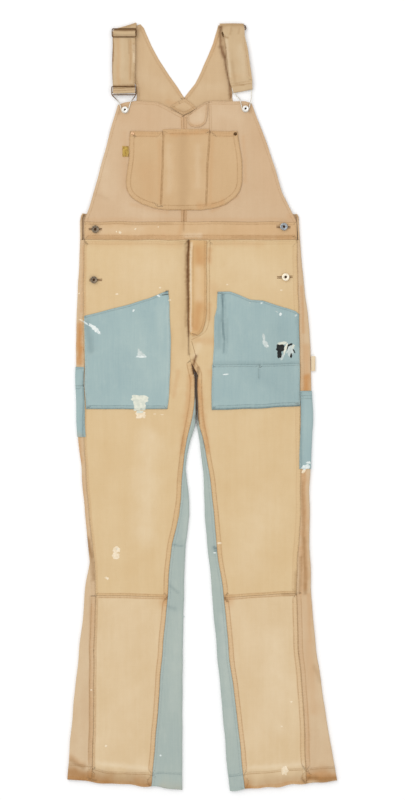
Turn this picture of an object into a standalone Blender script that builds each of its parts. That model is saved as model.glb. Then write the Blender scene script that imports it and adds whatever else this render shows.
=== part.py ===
"""Work overalls of canvas with denim patches, laid flat on their back.

The garment lies on z = 0 with its bib towards +Y and its front facing +Z. Every cut piece is its own closed
solid: a wall of cloth through sections worked out from the tables below, about 0.3 mm clear of its neighbours.
Lengths in the tables are millimetres. Left and right are as seen from above, with the bib at the top.
"""

import math
from typing import NamedTuple

import bmesh
import bpy
from mathutils import Vector

MM = 0.001
MIDDLE_Y = -1.4         # y of the garment's middle in the tables; the part is moved so that its origin is there

# Cloth
CANVAS = 1.2            # wall of the tan duck canvas
DENIM = 1.0             # wall of the blue denim
TAPE = 0.8              # thickness of the blank tag's woven tape
GAP = 0.3               # clearance between neighbouring pieces
HALF_GAP = GAP / 2
LAID_HEIGHT = 6.0       # outside height of the flattened body and legs
FOLD_STEPS = 6          # facets round a side fold
LIFT = GAP + DENIM      # the back rises by this where a side pocket passes under it

# Rows shared by several pieces
WAIST_Y = 332.0         # lower edge of the waistband
BIB_Y = 368.0           # upper edge of the front waistband
BACK_BAND_Y = 384.0     # upper edge of the back waistband
CENTRE_SEAM_X = -35.5   # seam up the middle of the bib
BAND_WALL = 1.8         # the waistband is two layers of canvas pressed together

# The front bib is a plane that comes down from the waistband towards the shoulders
BIB_TOP_Y = 610.0
BIB_UNDER_AT_WAIST = LAID_HEIGHT - CANVAS
BIB_UNDER_AT_TOP = 3.0
BIB_CORNER = 6.0        # its upper corners are taken at this depth below its top
BIB_ROWS = 8
BIB_COLUMNS = 12

# Straps and their wire fittings
WIRE_RADIUS = 1.0
WIRE_SIDES = 8
WIRE_BEND = 3.0         # how far from a corner the wire starts to bend
BAR_RADIUS = 0.96       # of the bars that end inside the loop's wire
RING_GAP = 0.4          # between a button and the middle of the wire round it
RING_FROM, RING_TO = 1.12, 1.88  # where that wire's arc starts and ends, in half turns
RING_STEPS = 8
NECK_REACH = 1.7        # half width of a buckle's neck, in ring radii
NECK_SHARE = 0.45       # how far up from the ring its neck is
STRAP_LOW = 2.1         # middle of the strap where it lies on the back bib
STRAP_BETWEEN = 3.9     # middle of the returning strap where it lies on the strap's back part
STRAP_HIGH = 6.5        # middle of the strap's front layer
WIRE_CLEAR = WIRE_RADIUS + GAP + CANVAS / 2   # strap middle to wire middle

# Finish colours, as linear red, green and blue
TAN = (0.66, 0.48, 0.27)
STRAP_TAN = (0.63, 0.47, 0.29)
SIDE_TAN = (0.57, 0.36, 0.17)
BLUE = (0.38, 0.51, 0.50)
STEEL = (0.52, 0.50, 0.46)
DARK_BRASS = (0.26, 0.19, 0.11)
CREAM_METAL = (0.78, 0.72, 0.58)
TAG_YELLOW = (0.52, 0.31, 0.07)


class Row(NamedTuple):
    """One section across a body half or a leg, in millimetres."""

    y_out: float        # height of the section at the side fold
    y_in: float         # height at the crotch side
    fold: float         # x of the side fold
    seam: float         # x of the side seam, on the top layer
    front_in: float     # x of the front's inner edge: centre front, then inner seam
    back_in: float      # x of the back's inner edge: centre back, then inner seam
    inner_fold: float   # x of the inner fold of the leg; the centre line above the crotch
    lift: float         # height of the back above the ground


LEFT_HIP = [
    Row(332, 332, -244.0, -235.5, -27.0, -35.5, -31.0, 0),
    Row(272, 272, -246.0, -236.5, -27.5, -33.0, -30.0, 0),
    Row(212, 212, -249.0, -237.0, -28.0, -30.0, -29.0, 0),
    Row(152, 152, -251.0, -237.0, -27.5, -26.0, -27.0, 0),
    Row(112, 112, -252.0, -236.0, -27.0, -22.0, -24.0, 0),
    Row(84, 84, -252.0, -235.5, -20.5, -18.5, -19.5, LIFT),
]
LEFT_LEG = [
    Row(60, 60, -252.0, -235.0, -16.5, -16.5, -12.3, LIFT),
    Row(12, 12, -250.5, -235.0, -19.0, -19.0, -12.3, LIFT),
    Row(-20, -20, -249.5, -235.0, -22.5, -22.5, -12.6, LIFT),
    Row(-38, -38, -249.0, -235.0, -25.0, -25.0, -15.0, LIFT),
    Row(-68, -68, -247.0, -235.0, -31.0, -31.0, -24.0, LIFT),
    Row(-96, -96, -244.5, -234.5, -35.0, -35.0, -29.5, 0),
    Row(-124, -124, -241.5, -233.0, -37.5, -37.5, -32.5, 0),
    Row(-168, -168, -238.5, -230.0, -41.0, -41.0, -27.0, 0),
    Row(-218, -218, -234.0, -226.0, -45.0, -45.0, -25.5, 0),
    Row(-278, -278, -227.0, -218.0, -60.0, -60.0, -33.0, 0),
    Row(-312, -312, -225.0, -215.0, -64.0, -64.0, -35.0, 0),
    Row(-358, -358, -233.0, -213.0, -67.0, -67.0, -35.5, 0),
    Row(-378, -382, -235.5, -213.0, -69.0, -69.0, -36.0, 0),
    Row(-418, -420, -238.0, -214.0, -72.0, -72.0, -37.0, 0),
    Row(-488, -490, -245.5, -215.5, -78.5, -78.5, -39.0, 0),
    Row(-586, -592, -256.0, -216.5, -86.5, -86.5, -39.5, 0),
    Row(-674, -684, -264.0, -218.0, -94.0, -94.0, -40.0, 0),
    Row(-747, -766, -270.0, -219.5, -100.5, -100.5, -40.0, 0),
]
RIGHT_HIP = [
    Row(332, 332, 196.0, 190.5, -27.0, -35.5, -31.0, 0),
    Row(272, 272, 201.0, 191.0, -27.5, -33.0, -30.0, 0),
    Row(212, 212, 207.0, 193.0, -28.0, -30.0, -29.0, 0),
    Row(152, 152, 215.0, 194.5, -27.5, -26.0, -27.0, 0),
    Row(112, 112, 217.0, 195.5, -27.0, -22.0, -24.0, 0),
    Row(84, 84, 217.5, 196.0, -20.5, -18.5, -19.5, 0),
    Row(64, 64, 217.5, 196.0, -8.8, -16.7, -17.0, 0),
]
RIGHT_LEG = [
    Row(60, 60, 217.5, 196.0, -6.5, -6.5, -11.8, 0),
    Row(34, 34, 218.5, 196.0, -6.5, -6.5, -11.8, LIFT),
    Row(-20, -20, 219.7, 196.4, -4.2, -4.2, -11.4, LIFT),
    Row(-38, -38, 220.0, 196.5, -3.5, -3.5, -9.5, LIFT),
    Row(-88, -88, 217.5, 197.0, 6.5, 6.5, -3.0, LIFT),
    Row(-134, -134, 216.0, 197.0, 14.0, 14.0, 2.5, LIFT),
    Row(-162, -162, 215.0, 197.0, 18.0, 18.0, 4.0, 0),
    Row(-218, -218, 214.5, 197.0, 24.5, 24.5, 5.5, 0),
    Row(-278, -278, 214.5, 194.0, 29.5, 29.5, 10.5, 0),
    Row(-312, -312, 216.5, 189.5, 33.5, 33.5, 15.0, 0),
    Row(-358, -358, 217.5, 189.0, 40.5, 40.5, 19.0, 0),
    Row(-372, -384, 218.5, 189.0, 43.5, 43.5, 21.0, 0),
    Row(-416, -422, 221.0, 190.0, 48.0, 48.0, 24.0, 0),
    Row(-486, -494, 228.0, 193.0, 54.0, 54.0, 31.0, 0),
    Row(-584, -596, 243.0, 202.0, 66.5, 66.5, 40.0, 0),
    Row(-672, -690, 256.5, 206.0, 77.0, 77.0, 48.0, 0),
    Row(-749, -769, 270.0, 209.0, 85.0, 85.0, 56.0, 0),
]
KNEE = {"left": 12, "right": 11}   # index of the knee seam in the leg tables


class Edge(NamedTuple):
    """Where a flat panel's two side edges stand at one height."""

    y: float
    left: float
    right: float


BACK_BAND = [  # the side folds of the back waistband, its upper corners worn round
    Edge(BACK_BAND_Y, -239.0, 190.5),
    Edge(379, -241.5, 193.2),
    Edge(BIB_Y, -243.5, 194.2),
    Edge(WAIST_Y + HALF_GAP, -244.0, 196.0),
]
BACK_BAND_RETURN = 0.6              # how far it lies over its folds on the top layer
BACK_BAND_COLUMNS = (-120, 0, 100)  # x of its sections' points on the ground

STAND_INSET = 4.5       # from the side fold to an underlap
STAND_WIDTH = 36.0
STAND_TOP_Y = 330.0
STAND_FOOT_Y = 222.0
STAND_SLANT = (2.0, 210.0)   # where its foot's outer corner lies: from its outer edge, and y

BIB_SIDES = [
    Edge(368, -235.0, 189.5),
    Edge(386, -229.5, 180.5),
    Edge(402, -223.5, 172.0),
    Edge(422, -218.0, 162.5),
    Edge(452, -209.5, 152.0),
    Edge(482, -201.5, 143.5),
    Edge(512, -193.5, 134.5),
    Edge(542, -185.0, 123.0),
    Edge(572, -177.0, 111.0),
    Edge(592, -171.5, 104.0),
    Edge(610, -166.0, 97.5),
]
BIB_TOP = [  # x, y along the top edge, with its dip over the back's crossing
    (-170, 600), (-165, 605), (-154, 607), (-130, 610), (-92, 608), (-78, 601.5), (-58, 591), (-38, 580.5),
    (-30, 580.5), (-18, 590), (-4, 600), (10, 608), (20, 609.5), (60, 609), (88, 609.5), (100, 605),
]


class BackEdge(NamedTuple):
    """One section of a back bib half and its shoulder arm."""

    y_outer: float
    y_inner: float
    outer: float
    inner: float


BACK_BIB = {
    "left": [
        BackEdge(384, 384, -230, -35.5),
        BackEdge(404, 404, -219, -35.5),
        BackEdge(432, 432, -206, -35.5),
        BackEdge(472, 472, -186, -35.5),
        BackEdge(512, 512, -166, -35.5),
        BackEdge(552, 552, -148, -35.5),
        BackEdge(584, 584, -136, -35.5),
        BackEdge(617, 617, -130, -35.5),
        BackEdge(640, 640, -131, -50.5),
        BackEdge(662, 662, -139, -67),
        BackEdge(694, 694, -150, -87),
        BackEdge(720, 720, -158, -101),
        BackEdge(744, 756, -168, -116.5),
        BackEdge(749, 763, -168, -123),
    ],
    "right": [
        BackEdge(384, 384, 179, -35.5),
        BackEdge(404, 404, 164, -35.5),
        BackEdge(432, 432, 148, -35.5),
        BackEdge(472, 472, 126, -35.5),
        BackEdge(512, 512, 104, -35.5),
        BackEdge(552, 552, 82, -35.5),
        BackEdge(584, 584, 68, -35.5),
        BackEdge(617, 617, 60, -35.5),
        BackEdge(645, 645, 61, -14),
        BackEdge(669, 669, 68, -1),
        BackEdge(696, 696, 73, 11),
        BackEdge(726, 726, 79, 22),
        BackEdge(754, 762, 84, 32),
    ],
}

BIB_POCKET = [  # y, left and right from the hem up to the hand opening
    Edge(391, -68, -4),
    Edge(395, -94, 20),
    Edge(403, -120, 47),
    Edge(417, -141, 67),
    Edge(431, -150, 76),
    Edge(448, -151.5, 80),
    Edge(492, -146, 79.5),
    Edge(532, -145, 74),
    Edge(549, -143, 71),
]
BIB_POCKET_MIDDLE = (-78.5, 14.0, 4.0)   # x limits and rise of the middle of its hand opening

# Denim hip pockets: the slanted hand opening as x, y, then the rest of the outline
LEFT_HIP_POCKET = [
    (-234.5, 180), (-195, 190), (-172, 196), (-147, 203), (-107, 215), (-82, 226), (-68.5, 231),
    (-65, 200), (-62.5, 123), (-63, 68), (-68, 4), (-69, -6), (-232, -6), (-234.5, 40),
]
RIGHT_HIP_POCKET = [
    (31.5, 228), (56, 228), (76, 221.5), (97, 213), (121, 210.5), (141, 204), (172, 195), (187, 189),
    (193.5, 183), (194.5, 132), (195.5, 40), (195.5, 0), (110, -5), (19.5, -8), (19, 50), (23.5, 123), (25, 177), (30, 195),
]
LOWER_POCKET = [(20, 82), (195, 84), (195.2, 1.5), (110, -3.5), (20.5, -6.5)]

WATCH_PATCH = [
    (-28.5, 578), (-28.5, 568), (-22.5, 559.5), (-14, 557), (-2, 558), (7, 565.5), (10, 578.5), (12, 604),
    (9, 603.5), (-5, 595), (-19, 585),
]
CROSS_PATCH = [(-64, 598), (-52, 590), (-37, 582), (-22, 589), (-10, 596), (-24, 609), (-34, 614.5), (-47, 609)]
FLY_PLACKET = [
    (-26.5, 330), (8, 330), (9, 250), (9, 190), (7, 168), (1, 150), (-8, 142), (-20, 140), (-26.5, 148),
    (-27.2, 200), (-27.2, 260),
]
LOOP_ROWS = (100, 85, 70)           # y of the hammer loop's sections
LOOP_ROOT, LOOP_REACH = 218.2, 226.5    # x where it starts at the side, and of its fold
LOOP_LOW, LOOP_HIGH = 1.4, 4.6          # heights of its two layers
LOOP_WALL = 1.0
TAG = [(-159.5, 519), (-159.5, 498), (-147, 498), (-147, 519)]


class SidePocket(NamedTuple):
    """A side pocket's upper and lower y, and how far it reaches past the fold on the top layer and under it."""

    top: float
    bottom: float
    on_top: float
    under: float


LEFT_SIDE_POCKET = SidePocket(78, -62, 15.5, 72)
RIGHT_SIDE_POCKET = SidePocket(30, -126, 22.5, 78)


class Station(NamedTuple):
    """One section across a strap: its two edge points and the height of its middle."""

    x_left: float
    y_left: float
    x_right: float
    y_right: float
    z: float


class Button(NamedTuple):
    """A metal button, by its place and the height of the cloth under it."""

    x: float
    y: float
    z: float
    radius: float


def between(a, b, share):
    """The number that lies a share of the way from a to b."""
    return a + (b - a) * share


def level(y, x_left, x_right, z):
    """A strap station that runs straight across."""
    return Station(x_left, y, x_right, y, z)


class Frame(NamedTuple):
    """A rectangular wire frame: its middle, size, turn in degrees and height."""

    x: float
    y: float
    width: float
    length: float
    degrees: float
    z: float

    def place(self, across, along):
        """The point that is across and along from the frame's middle."""
        angle = math.radians(self.degrees)
        x = self.x + across * math.cos(angle) - along * math.sin(angle)
        y = self.y + across * math.sin(angle) + along * math.cos(angle)
        return (x, y, self.z)


LEFT_SLIDE = Frame(-155.5, 745.2, 48, 16.4, 0, STRAP_HIGH + WIRE_CLEAR)
LEFT_BUCKLE = Frame(-156, 629.7, 48.5, 16.6, 0, STRAP_HIGH + WIRE_CLEAR)
LEFT_HUMP = STRAP_HIGH + 2 * WIRE_CLEAR     # height of the strap where it passes over a bar
LEFT_WRAP_Y = 626.5                         # y of the bar that it turns back round
LEFT_STRAP_BACK = [level(708, -176, -135, STRAP_LOW), level(730, -175.5, -134, STRAP_LOW)]
LEFT_SHOULDER = Station(-173.5, 751.2, -130.5, 763.5, STRAP_LOW)
LEFT_SHOULDER_WAY = (-0.28, 0.96)           # direction in which the shoulder's turn bulges
LEFT_STRAP_FRONT = [
    level(LEFT_SLIDE.y + 6, -177, -133, STRAP_HIGH),
    level(LEFT_SLIDE.y + 1.5, -177.8, -133.2, LEFT_HUMP),
    level(LEFT_SLIDE.y - 1.5, -177.8, -133.2, LEFT_HUMP),
    level(LEFT_SLIDE.y - 6.2, -178.4, -133.4, STRAP_HIGH),
    level(700, -180, -133.5, STRAP_HIGH),
    level(660, -179.5, -133.2, STRAP_HIGH),
    level(637, -178.6, -133.6, STRAP_HIGH),
    level(LEFT_WRAP_Y + 4.6, -178.6, -133.6, STRAP_HIGH + WIRE_CLEAR),
    level(LEFT_WRAP_Y + 1.2, -178.6, -133.6, LEFT_HUMP),
]
LEFT_STRAP_UP = [
    level(632, -178.6, -133.6, 4.6),
    level(640, -178, -134, 3.4),
    level(648, -178, -134, STRAP_LOW),
    level(688, -178, -134, STRAP_LOW),
    level(704, -178, -134, STRAP_BETWEEN),
    level(740, -177, -134, STRAP_BETWEEN),
]

RIGHT_SLIDE = Frame(64, 750, 50, 9, 18, (STRAP_LOW + STRAP_HIGH) / 2)
RIGHT_BUCKLE = Frame(80.5, 638, 46, 21, 10, (STRAP_LOW + STRAP_HIGH) / 2)
RIGHT_BAR = 4 - RIGHT_BUCKLE.length / 2     # where the bar that the strap turns round crosses its buckle
RIGHT_HALF_WIDTH = 19.8                     # of the strap, gathered on that bar
RIGHT_STRAP_BACK = [level(708, 49, 90, STRAP_LOW), level(738, 45, 86, STRAP_LOW)]
RIGHT_SHOULDER = Station(34.5, 762, 83.5, 761.5, STRAP_LOW)
RIGHT_STRAP_FRONT = [
    level(752, 38.5, 85.5, STRAP_HIGH),
    level(744, 43, 84.5, STRAP_HIGH),
    level(715, 47, 91.5, STRAP_HIGH),
    level(682, 48.6, 95.5, STRAP_HIGH),
    Station(54, 649, 100.6, 652, STRAP_HIGH),
]
RIGHT_STRAP_UP = [
    Station(56, 650, 100, 654, STRAP_LOW),
    level(688, 49.5, 94.5, STRAP_LOW),
    level(704, 48.5, 92, STRAP_BETWEEN),
    level(728, 47, 89, STRAP_BETWEEN),
]


def bib_under(y):
    """Height of the underside of the front bib at y."""
    return between(BIB_UNDER_AT_WAIST, BIB_UNDER_AT_TOP, (y - BIB_Y) / (BIB_TOP_Y - BIB_Y))


ON_BAND = LAID_HEIGHT - CANVAS + BAND_WALL
ON_BIB_POCKET = bib_under(545) + 2 * CANVAS + GAP
BUTTONS = {
    "bib_button_left": Button(-154, 592, bib_under(592) + CANVAS, 6.0),
    "bib_button_right": Button(87, 594, bib_under(594) + CANVAS, 6.0),
    "waist_button_left": Button(-213, 353, ON_BAND, 7.5),
    "waist_button_right": Button(163.5, 358, ON_BAND, 7.5),
    "hip_button_left": Button(-216, 252, LAID_HEIGHT, 7.0),
    "hip_button_right": Button(167, 257.5, LAID_HEIGHT, 7.5),
}
CREAM_BUTTON = "hip_button_right"
BUTTON_SIDES = 16
RIVET_SIDES = 14
RIVETS = {
    "rivet_left": Button(-138.5, 544.5, ON_BIB_POCKET, 3.4),
    "rivet_right": Button(66.5, 543.5, ON_BIB_POCKET, 3.4),
}


def read_line(points, x):
    """Height at x of the broken line through points, which are sorted by x."""
    for (x0, y0), (x1, y1) in zip(points, points[1:]):
        if x <= x1:
            return between(y0, y1, (x - x0) / (x1 - x0))
    return points[-1][1]


def side_edges(edges, y):
    """Left and right x at height y of a panel given by a table of edges."""
    lefts = [(edge.y, edge.left) for edge in edges]
    rights = [(edge.y, edge.right) for edge in edges]
    return read_line(lefts, y), read_line(rights, y)


# ----------------------------------------------------------------------------------------------------- objects


def clear_scene():
    """Remove every object that the file opens with."""
    for item in list(bpy.data.objects):
        bpy.data.objects.remove(item, do_unlink=True)


def finish(name, colour, roughness, metallic=0.0):
    """A plain finish for one piece."""
    material = bpy.data.materials.new(name + "_finish")
    material.use_nodes = True
    shader = material.node_tree.nodes["Principled BSDF"]
    shader.inputs["Base Color"].default_value = (*colour, 1.0)
    shader.inputs["Roughness"].default_value = roughness
    shader.inputs["Metallic"].default_value = metallic
    return material


def add_object(name, shape, material):
    """Link a bmesh, given in the tables' millimetres, as a named object in metres."""
    bmesh.ops.translate(shape, vec=(0, -MIDDLE_Y, 0), verts=shape.verts)
    bmesh.ops.scale(shape, vec=(MM, MM, MM), verts=shape.verts)
    mesh = bpy.data.meshes.new(name)
    shape.to_mesh(mesh)
    shape.free()
    mesh.materials.append(material)
    item = bpy.data.objects.new(name, mesh)
    bpy.context.scene.collection.objects.link(item)
    return item


def add_wall(item, thickness, offset):
    """Give a surface its cloth wall: offset -1 goes behind its faces, 0 to both sides, 1 in front of them."""
    wall = item.modifiers.new("wall", "SOLIDIFY")
    wall.thickness = thickness * MM
    wall.offset = offset
    wall.use_even_offset = True
    return item


def cloth(name, sections, thickness, offset, colour, roughness=0.9):
    """A cloth wall through sections, each a list of as many points; faces point along section x next row."""
    shape = bmesh.new()
    rows = [[shape.verts.new(point) for point in section] for section in sections]
    for row, below in zip(rows, rows[1:]):
        for k in range(len(row) - 1):
            shape.faces.new((row[k], row[k + 1], below[k + 1], below[k]))
    item = add_object(name, shape, finish(name, colour, roughness))
    return add_wall(item, thickness, offset)


def plate(name, outline, under, thickness, colour, roughness=0.9):
    """A flat piece of cloth with the given outline, whose underside stands at under(y)."""
    shape = bmesh.new()
    face = shape.faces.new([shape.verts.new((x, y, under(y))) for x, y in outline])
    face.normal_update()
    if face.normal.z > 0:
        face.normal_flip()
    grown = bmesh.ops.extrude_face_region(shape, geom=[face])
    tops = [part for part in grown["geom"] if isinstance(part, bmesh.types.BMVert)]
    bmesh.ops.translate(shape, vec=(0, 0, thickness), verts=tops)
    bmesh.ops.recalc_face_normals(shape, faces=shape.faces)
    return add_object(name, shape, finish(name, colour, roughness))


# ------------------------------------------------------------------------------------------- the body and legs


def fold_arc(edge, outward, low, high):
    """Section points (x, z) round a folded edge, from the top layer to the bottom one."""
    radius = (high - low) / 2
    points = []
    for step in range(FOLD_STEPS + 1):
        angle = math.pi / 2 - math.pi * step / FOLD_STEPS
        x = edge - outward * radius + outward * radius * math.cos(angle)
        points.append((x, (high + low) / 2 + radius * math.sin(angle)))
    return points


def height_at(row, x):
    """The height y of a tilted section where it passes x."""
    return between(row.y_out, row.y_in, (x - row.fold) / (row.inner_fold - row.fold))


def back_section(row, side):
    """A back's section: side seam on the top layer, round the side fold, then along the ground."""
    bottom = fold_arc(row.fold, side, row.lift, LAID_HEIGHT)
    start = bottom[-1][0]
    inner = row.back_in + side * HALF_GAP
    path = [(row.seam + side * HALF_GAP, LAID_HEIGHT)] + bottom
    path += [(between(start, inner, k / 4), row.lift) for k in range(1, 5)]
    points = [(x, height_at(row, x), z) for x, z in path]
    return points if side < 0 else points[::-1]


def gusset_section(row, side):
    """A leg gusset's section: inner seam on the top layer, round the inner fold, to the seam on the ground."""
    edge = row.front_in - side * HALF_GAP
    path = [(edge, LAID_HEIGHT)] + fold_arc(row.inner_fold, -side, row.lift, LAID_HEIGHT) + [(edge, row.lift)]
    points = [(x, height_at(row, x), z) for x, z in path]
    return points if side > 0 else points[::-1]


def front_section(row, side, columns=5):
    """A front panel's section on the top layer, between the side seam and its inner edge."""
    outer = row.seam - side * HALF_GAP
    inner = row.front_in + side * HALF_GAP
    xs = [between(outer, inner, k / columns) for k in range(columns + 1)]
    xs.sort(reverse=True)
    return [(x, height_at(row, x), LAID_HEIGHT) for x in xs]


def shifted(row, distance):
    """The same section moved along the garment."""
    return row._replace(y_out=row.y_out + distance, y_in=row.y_in + distance)


def build_half(side_name):
    """The fronts, back and gusset of one half, from the waist down to the hem."""
    side = -1 if side_name == "left" else 1
    hip = LEFT_HIP if side < 0 else RIGHT_HIP
    leg = LEFT_LEG if side < 0 else RIGHT_LEG
    knee = KNEE[side_name]
    rows = [shifted(hip[0], -HALF_GAP)] + hip[1:] + leg
    knee_row = len(hip) + knee
    thigh = rows[:knee_row] + [shifted(rows[knee_row], HALF_GAP)]
    shin = [shifted(rows[knee_row], -HALF_GAP)] + rows[knee_row + 1:]
    fronts = {"front_thigh_": thigh, "front_shin_": shin}
    for stem, part in fronts.items():
        cloth(stem + side_name, [front_section(row, side) for row in part], CANVAS, -1, TAN)
    cloth("back_leg_" + side_name, [back_section(row, side) for row in rows], CANVAS, -1, SIDE_TAN)
    cloth("gusset_" + side_name, [gusset_section(row, side) for row in leg], DENIM, -1, BLUE)


def build_waistbands():
    """The front band between the fronts and the bib, and the back band that wraps both side folds."""
    edges = [(-235.0, WAIST_Y + HALF_GAP), (190.0, WAIST_Y + HALF_GAP), (189.3, BIB_Y), (-234.8, BIB_Y)]
    under = LAID_HEIGHT - CANVAS
    plate("waistband_front", edges, lambda y: under, BAND_WALL, TAN)
    sections = []
    for edge in BACK_BAND:
        left_fold = fold_arc(edge.left, -1, 0, LAID_HEIGHT)
        right_fold = fold_arc(edge.right, 1, 0, LAID_HEIGHT)[::-1]
        path = [(left_fold[0][0] + BACK_BAND_RETURN, LAID_HEIGHT)] + left_fold
        path += [(x, 0) for x in BACK_BAND_COLUMNS]
        path += right_fold + [(right_fold[-1][0] - BACK_BAND_RETURN, LAID_HEIGHT)]
        sections.append([(x, edge.y, z) for x, z in path])
    cloth("waistband_back", sections, CANVAS, -1, SIDE_TAN)


def build_side_stands():
    """The underlaps behind the buttoned side openings, inside the body below the waist."""
    top = LAID_HEIGHT - CANVAS - GAP
    for name, fold, reach in (("left", -244, 1), ("right", 196, -1)):
        outer = fold + reach * STAND_INSET
        inner = outer + reach * STAND_WIDTH
        slant_x, slant_y = STAND_SLANT
        foot = [(inner, STAND_FOOT_Y), (outer + reach * slant_x, slant_y)]
        outline = [(outer, STAND_TOP_Y), (inner, STAND_TOP_Y)] + foot
        plate("side_stand_" + name, outline, lambda y: top - CANVAS, CANVAS, TAN)


# --------------------------------------------------------------------------------------------------------- bib


def bib_half(name, left_x, right_x):
    """One half of the front bib; an x of None stands for the slanted side edge."""
    sections = []
    top = side_edges(BIB_SIDES, BIB_TOP_Y - BIB_CORNER)
    for step in range(BIB_ROWS + 1):
        section = []
        for column in range(BIB_COLUMNS + 1):
            share = column / BIB_COLUMNS
            top_x = between(top[0] if left_x is None else left_x, top[1] if right_x is None else right_x, share)
            y = between(BIB_Y + GAP, read_line(BIB_TOP, top_x), step / BIB_ROWS)
            sides = side_edges(BIB_SIDES, y)
            x = between(sides[0] if left_x is None else left_x, sides[1] if right_x is None else right_x, share)
            section.append((x, y, bib_under(y)))
        sections.append(section)
    cloth(name, sections, CANVAS, 1, TAN)


def build_bib():
    """The two bib halves, with the pocket, patch and blank tag that lie on them."""
    bib_half("bib_left", None, CENTRE_SEAM_X - HALF_GAP)
    bib_half("bib_right", CENTRE_SEAM_X + HALF_GAP, None)

    def on_bib(y):
        return bib_under(y) + CANVAS + GAP

    right_side = [(edge.right, edge.y) for edge in BIB_POCKET]
    left_side = [(edge.left, edge.y) for edge in reversed(BIB_POCKET)]
    middle_left, middle_right, rise = BIB_POCKET_MIDDLE
    top = BIB_POCKET[-1].y
    opening = [(middle_right, top), (middle_right, top + rise), (middle_left, top + rise), (middle_left, top)]
    plate("bib_pocket", right_side + opening + left_side, on_bib, CANVAS, TAN)
    plate("bib_watch_patch", WATCH_PATCH, on_bib, CANVAS, TAN)
    plate("blank_tag", TAG, on_bib, TAPE, TAG_YELLOW, 0.6)


def build_back_bib():
    """The back bib halves with their shoulder arms, and the patch where they meet."""
    for name, edges in BACK_BIB.items():
        sections = []
        for edge in edges:
            lift_off = GAP if edge is edges[0] else 0
            inner = edge.inner + (HALF_GAP if name == "right" else -HALF_GAP)
            section = []
            for k in range(4):
                share = k / 3
                y = between(edge.y_outer, edge.y_inner, share) + lift_off
                section.append((between(edge.outer, inner, share), y, 0))
            sections.append(section if name == "left" else section[::-1])
        cloth("back_bib_" + name, sections, CANVAS, 1, TAN)
    plate("back_cross_patch", CROSS_PATCH, lambda y: CANVAS + GAP, CANVAS, SIDE_TAN)


# ----------------------------------------------------------------------------------------------------- pockets


def build_hip_pockets():
    """The denim pockets on both fronts, and the second layer on the right one."""
    first = LAID_HEIGHT + GAP
    second = first + DENIM + GAP
    plate("hip_pocket_left", LEFT_HIP_POCKET, lambda y: first, DENIM, BLUE)
    plate("hip_pocket_right", RIGHT_HIP_POCKET, lambda y: first, DENIM, BLUE)
    plate("hip_pocket_right_lower", LOWER_POCKET, lambda y: second, DENIM, BLUE)
    plate("fly_placket", FLY_PLACKET, lambda y: first, CANVAS, SIDE_TAN)


def row_at(rows, y):
    """The section of a table at height y, worked out between its neighbours."""
    for above, below in zip(rows, rows[1:]):
        if above.y_out >= y >= below.y_out:
            share = (above.y_out - y) / (above.y_out - below.y_out)
            return Row(*(between(a, b, share) for a, b in zip(above, below)))
    return rows[-1]


def side_pocket(name, rows, side, pocket):
    """A denim tool pocket wrapped round the side fold of the back."""
    sections = []
    crossed = [row.y_out for row in rows if pocket.top > row.y_out > pocket.bottom]
    heights = [pocket.top] + crossed + [pocket.bottom]
    for y in heights:
        row = row_at(rows, y)
        arc = fold_arc(row.fold + side * GAP, side, row.lift - GAP, LAID_HEIGHT + GAP)
        path = [(row.fold - side * pocket.on_top, LAID_HEIGHT + GAP)] + arc
        path += [(row.fold - side * reach, row.lift - GAP) for reach in (pocket.under / 2, pocket.under)]
        points = [(x, y, z) for x, z in path]
        sections.append(points if side < 0 else points[::-1])
    cloth(name, sections, DENIM, 1, BLUE)


def build_side_pockets():
    """The tool pockets on both sides and the hammer loop above the right one."""
    side_pocket("side_pocket_left", LEFT_HIP + LEFT_LEG, -1, LEFT_SIDE_POCKET)
    side_pocket("side_pocket_right", RIGHT_HIP + RIGHT_LEG, 1, RIGHT_SIDE_POCKET)
    sections = []
    for y in LOOP_ROWS:
        arc = fold_arc(LOOP_REACH, 1, LOOP_LOW, LOOP_HIGH)
        path = [(LOOP_ROOT, LOOP_HIGH)] + arc + [(LOOP_ROOT, LOOP_LOW)]
        sections.append([(x, y, z) for x, z in path][::-1])
    cloth("hammer_loop", sections, LOOP_WALL, -1, TAN)


# ------------------------------------------------------------------------------------------ straps and fittings


def turn(first, last_z, outward):
    """Stations of a half turn that starts at a station and ends at last_z, bulging along outward (x, y)."""
    radius = abs(first.z - last_z) / 2
    middle = (first.z + last_z) / 2
    sign = 1 if first.z > last_z else -1
    stations = []
    for step in range(FOLD_STEPS + 1):
        angle = math.pi * step / FOLD_STEPS
        dx = outward[0] * radius * math.sin(angle)
        dy = outward[1] * radius * math.sin(angle)
        z = middle + sign * radius * math.cos(angle)
        stations.append(
            Station(first.x_left + dx, first.y_left + dy, first.x_right + dx, first.y_right + dy, z)
        )
    return stations


def strap(name, stations):
    """A canvas strap through its stations."""
    sections = []
    for s in stations:
        middle = ((s.x_left + s.x_right) / 2, (s.y_left + s.y_right) / 2, s.z)
        sections.append([(s.x_left, s.y_left, s.z), middle, (s.x_right, s.y_right, s.z)])
    cloth(name, sections, CANVAS, 0, STRAP_TAN)


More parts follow.
